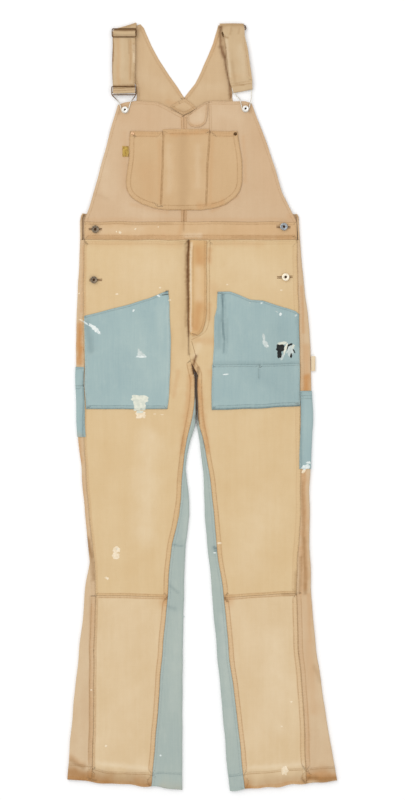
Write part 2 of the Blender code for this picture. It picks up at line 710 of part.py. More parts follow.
def tube(path, radius, closed=True):
    """A bmesh tube along a path of points; it is a ring when closed and has end caps when not."""
    shape = bmesh.new()
    points = [Vector(point) for point in path]
    count = len(points)
    rings = []
    for k, point in enumerate(points):
        before = points[k - 1] if closed or k else point
        after = points[(k + 1) % count] if closed or k < count - 1 else point
        along = (after - before).normalized()
        across = along.cross(Vector((0, 0, 1))).normalized()
        up = across.cross(along).normalized()
        ring = []
        for side in range(WIRE_SIDES):
            angle = math.tau * side / WIRE_SIDES
            ring.append(shape.verts.new(point + radius * (across * math.cos(angle) + up * math.sin(angle))))
        rings.append(ring)
    pairs = list(zip(rings, rings[1:]))
    if closed:
        pairs.append((rings[-1], rings[0]))
    for ring, following in pairs:
        for side in range(WIRE_SIDES):
            nxt = (side + 1) % WIRE_SIDES
            shape.faces.new((ring[side], ring[nxt], following[nxt], following[side]))
    if not closed:
        shape.faces.new(rings[0])
        shape.faces.new(rings[-1])
    bmesh.ops.recalc_face_normals(shape, faces=shape.faces)
    return shape


def rounded(corners, radius, steps=4):
    """A closed path with each corner rounded off; a corner is (x, y, z)."""
    path = []
    count = len(corners)
    for k in range(count):
        corner = Vector(corners[k])
        before = Vector(corners[k - 1]) - corner
        after = Vector(corners[(k + 1) % count]) - corner
        cut = min(radius, before.length * 0.45, after.length * 0.45)
        start = corner + before.normalized() * cut
        end = corner + after.normalized() * cut
        for step in range(steps + 1):
            share = step / steps
            path.append(start * (1 - share) ** 2 + corner * (2 * share * (1 - share)) + end * share ** 2)
    return path


def fitting(name, loop, bars):
    """A wire fitting: a closed loop with straight bars across it, joined into one body."""
    steel = finish(name, STEEL, 0.35, 0.9)
    item = add_object(name, tube(loop, WIRE_RADIUS), steel)
    for number, (start, end) in enumerate(bars):
        cutter = add_object(f"{name}_bar_{number}", tube([start, end], BAR_RADIUS, closed=False), steel)
        cutter.hide_render = True
        cutter.display_type = "WIRE"
        union = item.modifiers.new(f"bar_{number}", "BOOLEAN")
        union.operation = "UNION"
        union.solver = "EXACT"
        union.object = cutter
    return item


def slide(name, frame):
    """A strap slide: a rounded rectangle of wire with a middle bar."""
    half_w, half_l = frame.width / 2, frame.length / 2
    corners = [
        frame.place(-half_w, -half_l),
        frame.place(half_w, -half_l),
        frame.place(half_w, half_l),
        frame.place(-half_w, half_l),
    ]
    bar = (frame.place(-half_w, 0), frame.place(half_w, 0))
    fitting(name, rounded(corners, WIRE_BEND), [bar])


def buckle(name, frame, button, bars):
    """A bib buckle bent from one wire: a rectangle for the strap whose ends close in round the bib button."""
    half_w, half_l = frame.width / 2, frame.length / 2
    ring_z = button.z + GAP + WIRE_RADIUS
    ring = button.radius + RING_GAP
    neck_y = between(button.y + ring, frame.y - half_l, NECK_SHARE)
    corners = [
        frame.place(half_w, -half_l),
        frame.place(half_w, half_l),
        frame.place(-half_w, half_l),
        frame.place(-half_w, -half_l),
        (button.x - ring * NECK_REACH, neck_y, ring_z),
    ]
    loop = rounded(corners, WIRE_BEND)[:-3]
    for step in range(RING_STEPS + 1):
        angle = math.pi * between(RING_FROM, RING_TO, step / RING_STEPS)
        loop.append(Vector((button.x + ring * math.cos(angle), button.y + ring * math.sin(angle), ring_z)))
    loop.append(Vector((button.x + ring * NECK_REACH, neck_y, ring_z)))
    spans = [(frame.place(-half_w, along), frame.place(half_w, along)) for along in bars]
    fitting(name, loop, spans)


def donut_button(name, button, colour, roughness=0.3):
    """A metal button: a shank under a rounded rim with a dished middle and a small boss."""
    r = button.radius
    shank = r * 0.42
    profile = [
        (0.0, 0.0), (shank, 0.0), (shank, 2.4), (r * 0.86, 2.6), (r, 3.3), (r * 0.9, 4.2), (r * 0.66, 4.5),
        (r * 0.42, 3.9), (r * 0.26, 3.7), (r * 0.2, 4.2), (0.0, 4.3),
    ]
    turned(name, profile, button, BUTTON_SIDES, colour, roughness)


def rivet(name, button):
    """A domed rivet."""
    r = button.radius
    profile = [(0.0, 0.0), (r, 0.0), (r * 0.9, 0.7), (r * 0.5, 1.1), (0.0, 1.2)]
    turned(name, profile, button, RIVET_SIDES, DARK_BRASS, 0.45)


def turned(name, profile, place, segments, colour, roughness):
    """A piece turned about +Z from a profile of (radius, height) that starts and ends on the axis."""
    shape = bmesh.new()
    rings = []
    for radius, height in profile:
        z = place.z + GAP + height
        if radius == 0:
            rings.append([shape.verts.new((place.x, place.y, z))])
            continue
        ring = []
        for k in range(segments):
            angle = math.tau * k / segments
            x = place.x + radius * math.cos(angle)
            y = place.y + radius * math.sin(angle)
            ring.append(shape.verts.new((x, y, z)))
        rings.append(ring)
    for lower, upper in zip(rings, rings[1:]):
        for k in range(segments):
            nxt = (k + 1) % segments
            if len(lower) == 1:
                shape.faces.new((lower[0], upper[k], upper[nxt]))
            elif len(upper) == 1:
                shape.faces.new((lower[k], lower[nxt], upper[0]))
            else:
                shape.faces.new((lower[k], lower[nxt], upper[nxt], upper[k]))
    bmesh.ops.recalc_face_normals(shape, faces=shape.faces)
    item = add_object(name, shape, finish(name, colour, roughness, 0.9))
    item.data.shade_smooth()
    item.data.set_sharp_from_angle(angle=math.radians(35))


def build_left_strap(button):
    """The left strap, its slide worn in sight near the shoulder, and its buckle."""
    shoulder = turn(LEFT_SHOULDER, STRAP_HIGH, LEFT_SHOULDER_WAY)
    wrap = turn(LEFT_STRAP_FRONT[-1]._replace(y_left=LEFT_WRAP_Y, y_right=LEFT_WRAP_Y), STRAP_HIGH, (0, -1))
    strap("strap_left", LEFT_STRAP_BACK + shoulder + LEFT_STRAP_FRONT + wrap + LEFT_STRAP_UP)
    slide("slide_left", LEFT_SLIDE)
    buckle("buckle_left", LEFT_BUCKLE, button, (-LEFT_BUCKLE.length / 2, LEFT_WRAP_Y - LEFT_BUCKLE.y))


def build_right_strap(button):
    """The right strap, turned so that its slide and its buckle lie behind the front layer."""
    shoulder = turn(RIGHT_SHOULDER, STRAP_HIGH, (0, 1))
    left = RIGHT_BUCKLE.place(-RIGHT_HALF_WIDTH, RIGHT_BAR)
    right = RIGHT_BUCKLE.place(RIGHT_HALF_WIDTH, RIGHT_BAR)
    angle = math.radians(RIGHT_BUCKLE.degrees)
    bottom = Station(left[0], left[1], right[0], right[1], STRAP_HIGH)
    wrap = turn(bottom, STRAP_LOW, (math.sin(angle), -math.cos(angle)))
    strap("strap_right", RIGHT_STRAP_BACK + shoulder + RIGHT_STRAP_FRONT + wrap + RIGHT_STRAP_UP)
    slide("slide_right", RIGHT_SLIDE)
    buckle("buckle_right", RIGHT_BUCKLE, button, (RIGHT_BAR,))


def build_hardware():
    """The straps with their fittings, the buttons and the rivets."""
    for name, button in BUTTONS.items():
        donut_button(name, button, CREAM_METAL if name == CREAM_BUTTON else STEEL)
    for name, button in RIVETS.items():
        rivet(name, button)
    build_left_strap(BUTTONS["bib_button_left"])
    build_right_strap(BUTTONS["bib_button_right"])


def main():
    """Build the garment piece by piece."""
    clear_scene()
    for side_name in ("left", "right"):
        build_half(side_name)
    build_waistbands()
    build_side_stands()
    build_back_bib()
    build_bib()
    build_hip_pockets()
    build_side_pockets()
    build_hardware()


main()
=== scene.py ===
"""The looks of paint spattered bib overalls: worn tan canvas with faded denim patches, laid flat, front up.

Tables give millimetres in the garment's own frame: x to the right, y towards the bib, z up from the floor.
Left and right are as seen from above, with the bib at the top. A stroke of wear, of painted shade
and of painted highlight runs from one place to another, with its width and its strength.
"""

import logging
import math
import random
from dataclasses import dataclass, field
from enum import Enum
from typing import Iterable, NamedTuple

import bmesh
import bpy
import numpy as np
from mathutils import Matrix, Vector
from mathutils.bvhtree import BVHTree


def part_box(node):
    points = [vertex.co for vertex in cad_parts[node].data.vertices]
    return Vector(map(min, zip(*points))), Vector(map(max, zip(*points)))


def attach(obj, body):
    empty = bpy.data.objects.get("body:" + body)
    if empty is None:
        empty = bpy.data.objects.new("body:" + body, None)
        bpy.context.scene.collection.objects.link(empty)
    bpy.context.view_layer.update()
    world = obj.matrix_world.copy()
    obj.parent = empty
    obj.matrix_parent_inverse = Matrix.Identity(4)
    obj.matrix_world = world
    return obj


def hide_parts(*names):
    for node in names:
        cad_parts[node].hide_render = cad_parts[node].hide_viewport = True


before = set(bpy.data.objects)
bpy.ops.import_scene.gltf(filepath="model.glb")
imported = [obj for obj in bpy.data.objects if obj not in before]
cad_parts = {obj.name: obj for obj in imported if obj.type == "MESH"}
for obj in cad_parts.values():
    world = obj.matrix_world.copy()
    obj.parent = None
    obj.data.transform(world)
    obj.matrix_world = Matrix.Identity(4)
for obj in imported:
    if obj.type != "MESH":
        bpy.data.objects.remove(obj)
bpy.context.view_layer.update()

MM = 0.001
FAR = 1000.0            # a distance in millimetres that is out of every seam's reach
LOG = logging.getLogger("overalls")

Array = np.ndarray
Item = bpy.types.Object
Material = bpy.types.Material
Mesh = bpy.types.Mesh
Socket = bpy.types.NodeSocket
Colour = tuple[float, float, float]
Point = tuple[float, float]
Stroke = tuple[float, float, float, float, float, float]
Stitches = list[Point]
Place = tuple[float, float, float]
Cut = tuple[float, float, float]        # a flat cut's width, length and area, in metres
Stretch = tuple[str, Point, Point]      # part of a front's edge, between two corners
Sewing = tuple[float, tuple[float, ...], float, float, float]   # a seam's width, rows, ridge, stain, mark


class Layer(Enum):
    """The side of a flattened tube that something belongs to."""

    TOP = "top"
    UNDER = "under"


class WearAndShade(Enum):
    """Colours laid over the cloth, real wear and painted shade and highlight; each is a vertex attribute of
    that name.
    """

    RUST = "rust"
    # bleached and rubbed cloth, and painted highlight along the hems' ridges
    PALE = "pale"
    # real grime, and painted shade beside the fly's gap, on the straps and along a pocket's fold
    GRIME = "grime"
    # painted shade in gaps and openings and along the straps' edges
    DEEP = "deep"


def srgb(red: int, green: int, blue: int) -> Colour:
    """Linear colour of an sRGB one given from 0 to 255."""
    parts = [value / 255 for value in (red, green, blue)]
    return tuple(p / 12.92 if p <= 0.04045 else ((p + 0.055) / 1.055) ** 2.4 for p in parts)


def ease(values: Array, low: float, high: float) -> Array:
    """A soft step from 0 at low to 1 at high."""
    share = np.clip((values - low) / (high - low), 0.0, 1.0)
    return share * share * (3.0 - 2.0 * share)


def ripple(x: Array, y: Array, size: float, seed: int) -> Array:
    """Soft uneven waves over the cloth.

    Args:
        x, y: Places.
        size: Usual distance between two crests.
        seed: Which waves to take.

    Returns:
        Heights between about -1 and 1.
    """
    draws, waves = np.random.default_rng(seed), 6
    total = np.zeros_like(x)
    for _ in range(waves):
        turn, phase = draws.uniform(0, math.tau, 2)
        length = size * draws.uniform(0.7, 1.7)
        total += np.sin(math.tau * (x * math.cos(turn) + y * math.sin(turn)) / length + phase)
    return total / math.sqrt(waves)


def placed(mesh: Mesh, finish: Material) -> Item:
    """The object of a mesh, in its finish and in the scene."""
    mesh.materials.append(finish)
    item = bpy.data.objects.new(mesh.name, mesh)
    bpy.context.scene.collection.objects.link(item)
    return item


def mark_vertices(mesh: Mesh, name: str, numbers: Iterable[float]) -> None:
    """Stores a number on each vertex."""
    mesh.attributes.new(name, "FLOAT", "POINT").data.foreach_set("value", numbers)


# shader maths


@dataclass(frozen=True)
class Value:
    """A number that varies over a surface; arithmetic on it adds Math nodes."""

    graph: "Graph"
    socket: Socket

    def maths(self, operation: str, *others: "Value | float") -> "Value":
        """What one Math node makes of this value and the others."""
        sockets = dict(enumerate((self, *others)))
        return Value(self.graph, self.graph.node("Math", {"operation": operation}, sockets).outputs[0])

    def __add__(self, other: "Value | float") -> "Value":
        """Sum."""
        return self.maths("ADD", other)

    __radd__ = __add__

    def __sub__(self, other: "Value | float") -> "Value":
        """Difference."""
        return self.maths("SUBTRACT", other)

    def __rsub__(self, other: float) -> "Value":
        """Difference from a number."""
        return self.maths("MULTIPLY", -1.0) + other

    def __mul__(self, other: "Value | float") -> "Value":
        """Product."""
        return self.maths("MULTIPLY", other)

    __rmul__ = __mul__

    def __truediv__(self, other: "Value | float") -> "Value":
        """Quotient."""
        return self.maths("DIVIDE", other)

    def __rtruediv__(self, other: float) -> "Value":
        """Quotient of a number."""
        return self.maths("POWER", -1.0) * other

    def sine(self) -> "Value":
        """Sine."""
        return self.maths("SINE")

    def clamped(self) -> "Value":
        """This value, kept between 0 and 1."""
        return self.maths("MAXIMUM", 0.0).maths("MINIMUM", 1.0)

    def step(self, low: float, high: float) -> "Value":
        """A soft step.

        Args:
            low: Where it is 0.
            high: Where it is 1; it falls where this is the smaller.

        Returns:
            The step.
        """
        settings = {"interpolation_type": "SMOOTHSTEP"}
        sockets = {0: self, 1: min(low, high), 2: max(low, high), 3: 0.0, 4: 1.0}
        rising = Value(self.graph, self.graph.node("MapRange", settings, sockets).outputs[0])
        return rising if high > low else 1.0 - rising

    def line(self, centre: float, half: float, soft: float) -> "Value":
        """1 within half of centre, falling to 0 over soft on both sides."""
        return (self - centre).maths("ABSOLUTE").step(half + soft, half)


class Graph:
    """A material's nodes, with one method that adds any of them."""

    def __init__(self, name: str) -> None:
        """Starts a material of that name with its Principled shader."""
        self.material = bpy.data.materials.new(name)
        self.material.use_nodes = True
        self.tree = self.material.node_tree
        self.shader = self.tree.nodes["Principled BSDF"]
        self.place = self.node("TexCoord").outputs["Object"]

    def node(self, kind: str, settings: dict | None = None, sockets: dict | None = None) -> bpy.types.Node:
        """Adds a node.

        Args:
            kind: Its type, without the ShaderNode prefix.
            settings: Its properties, which are set first.
            sockets: Values or links of its inputs, by name or number.

        Returns:
            The node.
        """
        made = self.tree.nodes.new("ShaderNode" + kind)
        for key, value in (settings or {}).items():
            setattr(made, key, value)
        for key, value in (sockets or {}).items():
            self.feed(made.inputs[key], value)
        return made

    def feed(self, socket: Socket, value: object) -> None:
        """Links or sets one input.

        Args:
            socket: The input.
            value: A Value, an output socket, a colour or a number.
        """
        if isinstance(value, Value):
            value = value.socket
        if isinstance(value, Socket):
            self.tree.links.new(value, socket)
        elif isinstance(value, tuple) and socket.type == "RGBA":
            socket.default_value = (*value, 1.0)
        else:
            socket.default_value = value

    def noise(self, size: Place, detail: float = 2.0, rough: float = 0.5) -> Value:
        """Noise from 0 to 1.

        Args:
            size: Its lumps' size in millimetres along x, y and z.
            detail: How many finer layers it has.
            rough: How strong they are.

        Returns:
            The noise.
        """
        scale = tuple(1.0 / (MM * length) for length in size)
        spread = self.node("VectorMath", {"operation": "MULTIPLY"}, {0: self.place, 1: scale})
        sockets = {"Vector": spread.outputs[0], "Scale": 1.0, "Detail": detail, "Roughness": rough}
        return Value(self, self.node("TexNoise", {}, sockets).outputs[0])

    def attribute(self, name: str) -> Value:
        """A number stored on the vertices."""
        return Value(self, self.node("Attribute", {"attribute_name": name}).outputs["Fac"])

    def axis(self, index: int) -> Value:
        """The place along x, y or z, in millimetres."""
        return Value(self, self.node("SeparateXYZ", {}, {0: self.place}).outputs[index]) * (1.0 / MM)

    def mix(self, share: Value | float, first: object, second: object, mode: str = "MIX") -> Socket:
        """A colour part of the way from first to second."""
        settings = {"data_type": "RGBA", "blend_type": mode, "clamp_factor": True}
        return self.node("Mix", settings, {0: share, 6: first, 7: second}).outputs[2]

    def finish(self, colour: object, roughness: object, height: Value | None, **constants: float) -> Material:
        """Feeds the shader.

        Args:
            colour: Base colour.
            roughness: Roughness.
            height: Height in millimetres for the bump, if any.
            constants: Numbers for its other sockets, with underscores for spaces.

        Returns:
            The material.
        """
        constants |= {"Base_Color": colour, "Roughness": roughness}
        for key, value in constants.items():
            self.feed(self.shader.inputs[key.replace("_", " ")], value)
        if height is not None:
            bump = self.node("Bump", {}, {"Strength": 1.0, "Distance": MM, "Height": height})
            self.feed(self.shader.inputs["Normal"], bump.outputs[0])
        return self.material


# finishes


@dataclass(frozen=True)
class SeamMarks:
    """What sewing does to cloth: a fold line, a groove under the second row, puckers and a stained band."""

    pucker: float = 6.5     # distance between puckers
    rise: float = 0.16      # their height

    def read(self, graph: Graph) -> tuple[Value, Value, Value]:
        """Reads the seams off the vertices.

        Args:
            graph: The cloth's nodes.

        Returns:
            How stained the band is, how dark its lines are, and the height of its puckers.
        """
        away, near, wide = (graph.attribute(name) for name in ("away", "near", "wide"))
        here = (near / wide).step(1.6, 1.4)
        beyond = away - wide
        band = away.step(-0.8, 0.4) * beyond.step(2.8, 0.0) * here
        rubbed = graph.noise((8.0, 8.0, 8.0), 2.0).step(0.2, 0.62) * 0.6 + 0.4
        fold, groove = away.line(0.1, 0.4, 1.2) * near.step(4.0, 2.6), beyond.line(0.0, 0.4, 1.1)
        lines = (fold + groove * 0.8).clamped() * here * rubbed
        sway = graph.noise((14.0, 14.0, 14.0), 1.0) * 9.0
        puckers = (graph.attribute("run") * (math.tau / self.pucker) + sway).sine() * band
        return band * graph.attribute("stain"), lines * graph.attribute("mark"), puckers


@dataclass(frozen=True)
class Cloth:
    """What all cloth shares: its colours, its seams, its wear and its painted shade."""

    name: str
    cloth: Colour
    bleached: Colour
    rust: Colour
    # bleached and rubbed cloth, and painted highlight along the hems' ridges
    pale: Colour
    # grime, and painted shade beside folds, gaps and straps
    grime: Colour
    # painted shade in gaps, openings and along the straps' edges
    deep: Colour
    marks: SeamMarks
    texture: float          # distance between the ribs of its weave

    def worn(self, graph: Graph, colour: Socket, patchy: Value, lines: Value) -> Socket:
        """Lays pale rubs and painted highlights, dark seam lines, grime and painted shade over a colour.

        Args:
            graph: The cloth's nodes.
            colour: The cloth's colour so far.
            patchy: Noise that makes the wear uneven.
            lines: How dark the seams' lines are.

        Returns:
            The colour of the worn cloth.
        """
        colour = graph.mix((graph.attribute("pale") * (patchy * 0.8 + 0.5)).clamped(), colour, self.pale)
        # Dark seam lines, grime, and painted shade beside folds, gaps and straps.
        dark_lines_grime_and_shade = (lines + graph.attribute("grime") * (patchy * 0.7 + 0.6)).clamped()
        colour = graph.mix(dark_lines_grime_and_shade, colour, self.grime)
        # Painted shade in gaps, openings and along the straps' edges.
        return graph.mix(graph.attribute("deep").clamped(), colour, self.deep)


@dataclass(frozen=True)
class DuckCanvas(Cloth):
    """Plain-woven duck canvas, sun-bleached on the flats and stained brown along its seams."""

    rust: Colour = srgb(192, 142, 92)
    # also paints the highlight along the hems' ridges
    pale: Colour = srgb(232, 216, 188)
    # grime, and painted shade
    grime: Colour = srgb(146, 108, 66)
    # painted shade in gaps, openings and along the straps' edges
    deep: Colour = srgb(110, 70, 36)
    marks: SeamMarks = SeamMarks()
    texture: float = 0.9

    def build(self) -> Material:
        """Builds its nodes.

        Returns:
            The material.
        """
        graph = Graph(self.name)
        broad = graph.noise((70.0, 90.0, 70.0), 3.0)
        patchy = graph.noise((16.0, 22.0, 16.0), 3.0, 0.6)
        warp = graph.noise((1.1, 30.0, 4.0), 2.0, 0.6)
        weft = graph.noise((24.0, 1.1, 4.0), 2.0, 0.6)
        streak = graph.noise((9.0, 160.0, 9.0), 2.0)
        bleach = (broad * 1.2 + patchy * 0.5 + streak * 0.5 - 0.68).clamped()
        colour = graph.mix(bleach, self.cloth, self.bleached)
        slub = ((warp + weft) * 0.5).step(0.3, 0.72)
        colour = graph.mix(slub * 0.14, colour, graph.mix(1.0, colour, (0.80, 0.77, 0.72), "MULTIPLY"))
        stain, lines, puckers = self.marks.read(graph)
        seams = stain * (patchy + puckers * 0.12 + 0.3)
        spots = graph.attribute("rust") * (patchy * 0.9 + 0.5)
        colour = graph.mix((seams + spots).clamped(), colour, self.rust)
        colour = self.worn(graph, colour, patchy, lines)
        ribs = math.tau / self.texture
        weave = (graph.axis(0) * ribs).sine() * (graph.axis(1) * ribs).sine()
        height = weave * 0.02 + slub * 0.09 + puckers * self.marks.rise - lines * 0.5 + patchy * 0.25
        return graph.finish(colour, patchy * 0.08 + 0.86, height, Specular_IOR_Level=0.2, Sheen_Weight=0.05)


@dataclass(frozen=True)
class FadedDenim(Cloth):
    """Denim washed to pale blue-green, with twill, slubs and soft upright streaks."""

    rust: Colour = srgb(176, 160, 132)
    pale: Colour = srgb(182, 196, 190)
    # grime, and painted shade along the right pocket's fold
    grime: Colour = srgb(92, 112, 116)
    # painted shade in the slit between the legs and at the crotch
    deep: Colour = srgb(76, 54, 38)
    marks: SeamMarks = SeamMarks(pucker=5.5, rise=0.14)
    texture: float = 1.3
    blue: Colour = srgb(145, 168, 170)  # where it has washed out least

    def build(self) -> Material:
        """Builds its nodes.

        Returns:
            The material.
        """
        graph = Graph(self.name)
        broad = graph.noise((60.0, 90.0, 60.0), 2.0)
        patchy = graph.noise((14.0, 22.0, 14.0), 3.0, 0.6)
        streak = graph.noise((3.5, 80.0, 6.0), 2.0, 0.55)
        warp = graph.noise((1.2, 34.0, 4.0), 2.0, 0.65)
        weft = graph.noise((20.0, 1.4, 4.0), 1.0)
        washed = (broad * 0.9 + streak * 0.6 + patchy * 0.3 - 0.45).clamped()
        colour = graph.mix(washed, self.blue, self.cloth)
        slub = (warp * 0.7 + weft * 0.3).step(0.35, 0.7)
        colour = graph.mix(slub * 0.16 + patchy.step(0.5, 0.9) * 0.2, colour, self.bleached)
        stain, lines, puckers = self.marks.read(graph)
        colour = graph.mix((stain * (puckers * 0.2 + 0.8)).clamped(), colour, self.blue)
        colour = graph.mix((graph.attribute("rust") * (patchy + 0.4)).clamped(), colour, self.rust)
        colour = self.worn(graph, colour, patchy, lines)
        twill = ((graph.axis(0) + graph.axis(1)) * (math.tau / self.texture)).sine()
        height = twill * 0.025 + slub * 0.1 + puckers * self.marks.rise - lines * 0.45 + patchy * 0.2
        return graph.finish(colour, patchy * 0.08 + 0.84, height, Specular_IOR_Level=0.2, Sheen_Weight=0.05)


@dataclass(frozen=True)
class Yarn:
    """Sewing thread, faded unevenly along the row."""

    name: str
    colour: Colour
    faded: Colour
    ply: float = 0.5

    def build(self) -> Material:
        """Builds its nodes.

        Returns:
            The material.
        """
        graph = Graph(self.name)
        fade = graph.noise((9.0, 9.0, 9.0), 2.0).step(0.35, 0.65)
        twist = ((graph.axis(0) + graph.axis(1)) * (math.tau / self.ply)).sine()
        return graph.finish(graph.mix(fade, self.colour, self.faded), 0.7 + fade * 0.1, twist * 0.03)


@dataclass(frozen=True)
class Metal:
    """Plated wire or stamped metal, dulled and tarnished in spots, and of its bare colour, where it has one,
    below a set place along y.
    """

    name: str
    bright: Colour
    tarnish: Colour
    roughness: float
    tarnished: float = 0.4
    bare: Colour | None = None      # what it is where it hangs free of the straps
    bare_below: float = 612.0

    def build(self) -> Material:
        """Builds its nodes.

        Returns:
            The material.
        """
        graph = Graph(self.name)
        spots = graph.noise((2.4, 2.4, 2.4), 4.0, 0.65)
        colour = graph.mix(spots.step(0.62 - self.tarnished * 0.4, 0.72), self.bright, self.tarnish)
        if self.bare is not None:
            hanging = graph.axis(1).step(self.bare_below + 6.0, self.bare_below - 6.0)
            colour = graph.mix(hanging, colour, self.bare)
        scratch = graph.noise((0.4, 3.5, 0.4), 2.0)
        roughness = (spots * 0.3 + self.roughness).clamped()
        return graph.finish(colour, roughness, scratch * 0.03 + spots * 0.05, Metallic=1.0)


@dataclass(frozen=True)
class Paint:
    """A dried splash of house paint, chalky, broken at its rim where the cloth shows through."""

    name: str
    colour: Colour
    shaded: Colour
    cover: float = 1.0      # how much of the cloth it hides

    def build(self) -> Material:
        """Builds its nodes.

        Returns:
            The material.
        """
        graph = Graph(self.name)
        grain = graph.noise((1.3, 2.2, 1.3), 3.0, 0.65)
        cloud = graph.noise((5.0, 5.0, 5.0), 2.0)
        colour = graph.mix(cloud.step(0.35, 0.7), self.shaded, self.colour)
        solid = (graph.attribute("inside") * 2.4 + grain * 1.4 - 0.6).step(0.0, 0.3)
        graph.feed(graph.shader.inputs["Alpha"], solid * self.cover)
        return graph.finish(colour, 0.6 + grain * 0.2, grain * 0.15 + cloud * 0.1, Specular_IOR_Level=0.3)


@dataclass(frozen=True)
class WovenTape:
    """The yellow tape of the blank tag, ribbed, soiled, and worn at its middle."""

    name: str
    colour: Colour
    soiled: Colour
    rib: float = 0.7

    def build(self) -> Material:
        """Builds its nodes.

        Returns:
            The material.
        """
        graph = Graph(self.name)
        soil = graph.noise((4.0, 5.0, 4.0), 3.0).step(0.4, 0.7)
        ribs = (graph.axis(1) * (math.tau / self.rib)).sine()
        colour = graph.mix((soil + graph.attribute("grime")).clamped(), self.colour, self.soiled)
        return graph.finish(colour, 0.75 + soil * 0.1, ribs * 0.05)


@dataclass(frozen=True)
class PaleFloor:
    """The plain pale board under the garment."""

    name: str = "pale_floor"
    level: float = 0.95

    def build(self) -> Material:
        """Builds its nodes.

        Returns:
            The material.
        """
        graph = Graph(self.name)
        grain = graph.noise((300.0, 300.0, 300.0), 2.0)
        return graph.finish(graph.mix(grain, (self.level,) * 3, (self.level * 0.995,) * 3), 0.9, None)


class Thread(Enum):
    """The threads that the garment is sewn with."""

    TAN = "tan"
    BROWN = "brown"
    BLUE = "blue"
    BLACK = "black"


class Workshop:
    """Every finish that the garment is made with, built once; a cloth comes with its record's slot."""

    canvases = {
        "bib": ((199, 168, 133), (208, 180, 147), "canvas"),
        "leg": ((209, 182, 142), (220, 197, 162), "canvas"),
        "hip": ((208, 179, 135), (216, 191, 151), "canvas"),
        "side": ((201, 172, 137), (212, 189, 156), "side_canvas"),
        "back": ((196, 165, 127), (206, 178, 141), "canvas"),
        "strap": ((192, 165, 128), (204, 178, 142), "strap_canvas"),
        "band": ((202, 168, 126), (212, 180, 141), "canvas"),
        "fly": ((204, 166, 116), (212, 178, 132), "side_canvas"),
        "pocket": ((198, 165, 124), (206, 174, 134), "canvas"),
    }
    denims = (
        FadedDenim("denim_pocket", srgb(163, 183, 181), srgb(182, 196, 190)),
        FadedDenim("denim_gusset", srgb(170, 180, 171), srgb(190, 197, 188), srgb(188, 162, 126),
                   srgb(190, 197, 188), blue=srgb(156, 170, 166)),
    )
    yarns = {
        Thread.TAN: ((178, 138, 92), (206, 172, 126)),
        Thread.BROWN: ((120, 84, 52), (152, 114, 74)),
        Thread.BLUE: ((132, 152, 152), (164, 176, 170)),
        Thread.BLACK: ((44, 46, 44), (70, 70, 64)),
    }
    metals = {
        "bright": Metal("worn_steel", srgb(238, 236, 230), srgb(186, 178, 164), 0.3, 0.2),
        "dark": Metal("bronzed_steel", srgb(142, 128, 110), srgb(76, 60, 44), 0.25, 0.6),
        "grey": Metal("greyed_steel", srgb(168, 174, 178), srgb(84, 74, 62), 0.25, 0.45),
        "pit": Metal("rusted_pit", srgb(86, 62, 44), srgb(52, 36, 26), 0.6, 0.5),
        "cream": Metal("cream_metal", srgb(246, 238, 220), srgb(214, 186, 156), 0.5, 0.15),
        "wire": Metal("brown_wire", srgb(128, 96, 62), srgb(78, 54, 36), 0.38, 0.6, srgb(226, 222, 212)),
        "bare": Metal("bare_wire", srgb(228, 224, 214), srgb(172, 156, 134), 0.34, 0.3),
        "rubbed": Metal("rubbed_brass", srgb(222, 184, 146), srgb(150, 106, 72), 0.4, 0.4),
        "brass": Metal("dark_brass", srgb(112, 84, 54), srgb(58, 42, 30), 0.42, 0.6),
    }

    def __init__(self) -> None:
        """Builds the finishes."""
        self.cloth = {
            name: (DuckCanvas(f"canvas_{name}", srgb(*cloth), srgb(*bleached)).build(), slot)
            for name, (cloth, bleached, slot) in self.canvases.items()
        }
        self.cloth |= {finish.name: (finish.build(), "denim") for finish in self.denims}
        self.cloth["cross"] = (self.cloth["back"][0], "side_canvas")
        self.cloth["tape"] = (WovenTape("woven_tape", srgb(194, 162, 72), srgb(148, 112, 44)).build(), "tag")
        self.slit = Yarn("shadow_in_slits", srgb(58, 42, 30), srgb(74, 54, 38)).build()
        self.thread = {kind: Yarn(f"thread_{kind.value}", srgb(*plain), srgb(*faded)).build()
                       for kind, (plain, faded) in self.yarns.items()}
        self.metal = {name: metal.build() for name, metal in self.metals.items()}


# lines on the cloth


def resample(points: Array, step: float = 2.0) -> Array:
    """Spaces a line's points evenly.

    Args:
        points: The line's points, x and y.
        step: Distance between the new points.

    Returns:
        The new points.
    """
    points = np.asarray(points, dtype=float)
    along = np.concatenate(([0.0], np.cumsum(np.hypot(*np.diff(points, axis=0).T))))
    count = max(2, int(round(along[-1] / step)) + 1)
    places = np.linspace(0.0, along[-1], count)
    return np.stack([np.interp(places, along, points[:, k]) for k in range(2)], axis=1)


def softened(points: Array, rounds: int = 2) -> Array:
    """Cuts a line's corners off, as cloth and stitching round them.

    Args:
        points: The line's points.
        rounds: How many times its corners are cut.

    Returns:
        Evenly spaced points of the softened line.
    """
    line = np.asarray(points, dtype=float)
    for _ in range(rounds):
        near, far = line[:-1] * 0.75 + line[1:] * 0.25, line[:-1] * 0.25 + line[1:] * 0.75
        line = np.concatenate((line[:1], np.stack((near, far), axis=1).reshape(-1, 2), line[-1:]))
    return resample(line)


def beside(line: Array, offset: float) -> Array:
    """A line's parallel, offset to the left of its direction."""
    along = np.gradient(line, axis=0)
    along /= np.maximum(np.hypot(along[:, 0], along[:, 1]), 1e-9)[:, None]
    return resample(line + offset * np.stack((-along[:, 1], along[:, 0]), axis=1))


